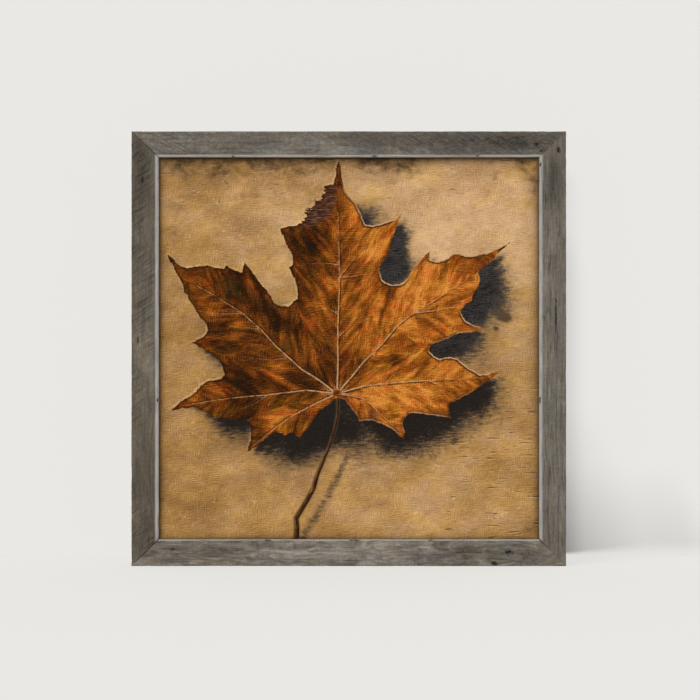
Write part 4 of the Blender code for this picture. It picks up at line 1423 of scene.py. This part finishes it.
def level_camera(settings):
    """A level camera straight in front, a hair below and right of the frame's middle."""
    data = bpy.data.cameras.new("camera")
    data.sensor_width = 36
    data.lens = data.sensor_width * settings.camera_distance / settings.view_width
    data.clip_start, data.clip_end = 0.05, 60
    camera = bpy.data.objects.new("camera", data)
    bpy.context.scene.collection.objects.link(camera)
    distance = FRAME_FRONT - settings.camera_distance
    camera.location = (CAMERA_RIGHT, distance, FRAME_CENTRE_Z - CAMERA_DROP)
    camera.rotation_euler = (math.radians(90), 0, 0)
    bpy.context.scene.camera = camera


# ---------------------------------------------------------------- operators, panel and running


class FRAMED_PRINT_OT_rails(Operator):
    """Make the four weathered rails"""

    bl_idname = "framed_print.rails"
    bl_label = "Weathered Rails"

    def execute(self, context):
        for side in RING:
            worn_rail(side, context.scene.framed_print.rails)
        return {"FINISHED"}


class FRAMED_PRINT_OT_canvas(Operator):
    """Make the wrapped canvas with its painted leaf"""

    bl_idname = "framed_print.canvas"
    bl_label = "Painted Canvas"

    def execute(self, context):
        wrapped_canvas(context.scene.framed_print.picture)
        return {"FINISHED"}


class FRAMED_PRINT_OT_bars(Operator):
    """Finish the stretcher bars in planed pine"""

    bl_idname = "framed_print.bars"
    bl_label = "Stretcher Bars"

    def execute(self, context):
        settings = context.scene.framed_print.back
        level = pine_wood("pine_level", False, settings)
        upright = pine_wood("pine_upright", True, settings)
        for side in RING:
            node = "stretcher_bar_" + side
            dress(node, level if side in ("top", "bottom") else upright)
            soften(node, settings.edge_round)
        return {"FINISHED"}


class FRAMED_PRINT_OT_fastenings(Operator):
    """Finish the staples, V-nails, clips, screws and hanger in zinc"""

    bl_idname = "framed_print.fastenings"
    bl_label = "Fastenings"

    def execute(self, context):
        settings = context.scene.framed_print.back
        metal = zinc_steel(settings)
        for node in nodes_named("canvas_staple", "frame_v_nail", "stretcher_v_nail"):
            dress(node, metal)
        for node in nodes_named("canvas_clip", "clip_screw", "sawtooth_hanger", "hanger_nail"):
            dress(node, metal)
            soften(node, settings.edge_round * 0.6)
        return {"FINISHED"}


class FRAMED_PRINT_OT_bumpers(Operator):
    """Finish the two rubber bumpers"""

    bl_idname = "framed_print.bumpers"
    bl_label = "Bumpers"

    def execute(self, context):
        rubber = black_rubber(context.scene.framed_print.back)
        for node in nodes_named("bumper_"):
            dress(node, rubber)
            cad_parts[node].data.shade_smooth()
        return {"FINISHED"}


class FRAMED_PRINT_OT_stage(Operator):
    """Set up the wall, the floor, the light and the camera"""

    bl_idname = "framed_print.stage"
    bl_label = "Stage"

    def execute(self, context):
        settings = context.scene.framed_print.stage
        reach, top = STAGE_REACH, WALL_HEIGHT
        depth = FRAME_FRONT + settings.wall_distance
        wall = stage_plane(
            "wall",
            [(-reach, depth, 0), (reach, depth, 0), (reach, depth, top), (-reach, depth, top)],
            one_sided_wall(settings.wall, settings.floor),
        )
        floor = stage_plane(
            "floor",
            [(-reach, -reach, 0), (reach, -reach, 0), (reach, reach, 0), (-reach, reach, 0)],
            bright_floor(settings.floor),
        )
        sun("soft_key", *KEY_SUN, settings.key, [wall], "EXCLUDE")
        for k, (right, down, spread, share) in enumerate(WALL_SUNS):
            facing = math.cos(math.radians(right)) * math.cos(math.radians(down))
            sun(f"wall_sun_{k}", right, down, spread, settings.wall_light * share / facing, [wall])
        sun("back_light", *BACK_SUN, settings.back_light, [wall, floor], "EXCLUDE")
        even_sky(settings.sky, settings.floor)
        level_camera(settings)
        context.scene.view_settings.view_transform = "Standard"
        return {"FINISHED"}


class FRAMED_PRINT_PT_panel(Panel):
    """Lists the steps that finish the framed print"""

    bl_idname = "FRAMED_PRINT_PT_panel"
    bl_label = "Framed Print"
    bl_space_type = "VIEW_3D"
    bl_region_type = "UI"
    bl_category = "Framed Print"

    def draw(self, context):
        for operator in OPERATORS:
            self.layout.operator(operator.bl_idname)
        settings = context.scene.framed_print
        for group in (settings.rails, settings.picture, settings.back, settings.stage):
            box = self.layout.box()
            for name in group.__annotations__:
                box.prop(group, name)


OPERATORS = (
    FRAMED_PRINT_OT_stage,
    FRAMED_PRINT_OT_rails,
    FRAMED_PRINT_OT_canvas,
    FRAMED_PRINT_OT_bars,
    FRAMED_PRINT_OT_fastenings,
    FRAMED_PRINT_OT_bumpers,
)
GROUPS = (RailSettings, PictureSettings, BackSettings, StageSettings, FramedPrintSettings)


def register():
    for item in (*GROUPS, *OPERATORS, FRAMED_PRINT_PT_panel):
        bpy.utils.register_class(item)
    bpy.types.Scene.framed_print = PointerProperty(type=FramedPrintSettings)


def unregister():
    del bpy.types.Scene.framed_print
    for item in reversed((*GROUPS, *OPERATORS, FRAMED_PRINT_PT_panel)):
        bpy.utils.unregister_class(item)


def main():
    register()
    bpy.ops.framed_print.stage()
    bpy.ops.framed_print.rails()
    bpy.ops.framed_print.canvas()
    bpy.ops.framed_print.bars()
    bpy.ops.framed_print.fastenings()
    bpy.ops.framed_print.bumpers()


if __name__ == "__main__":
    main()
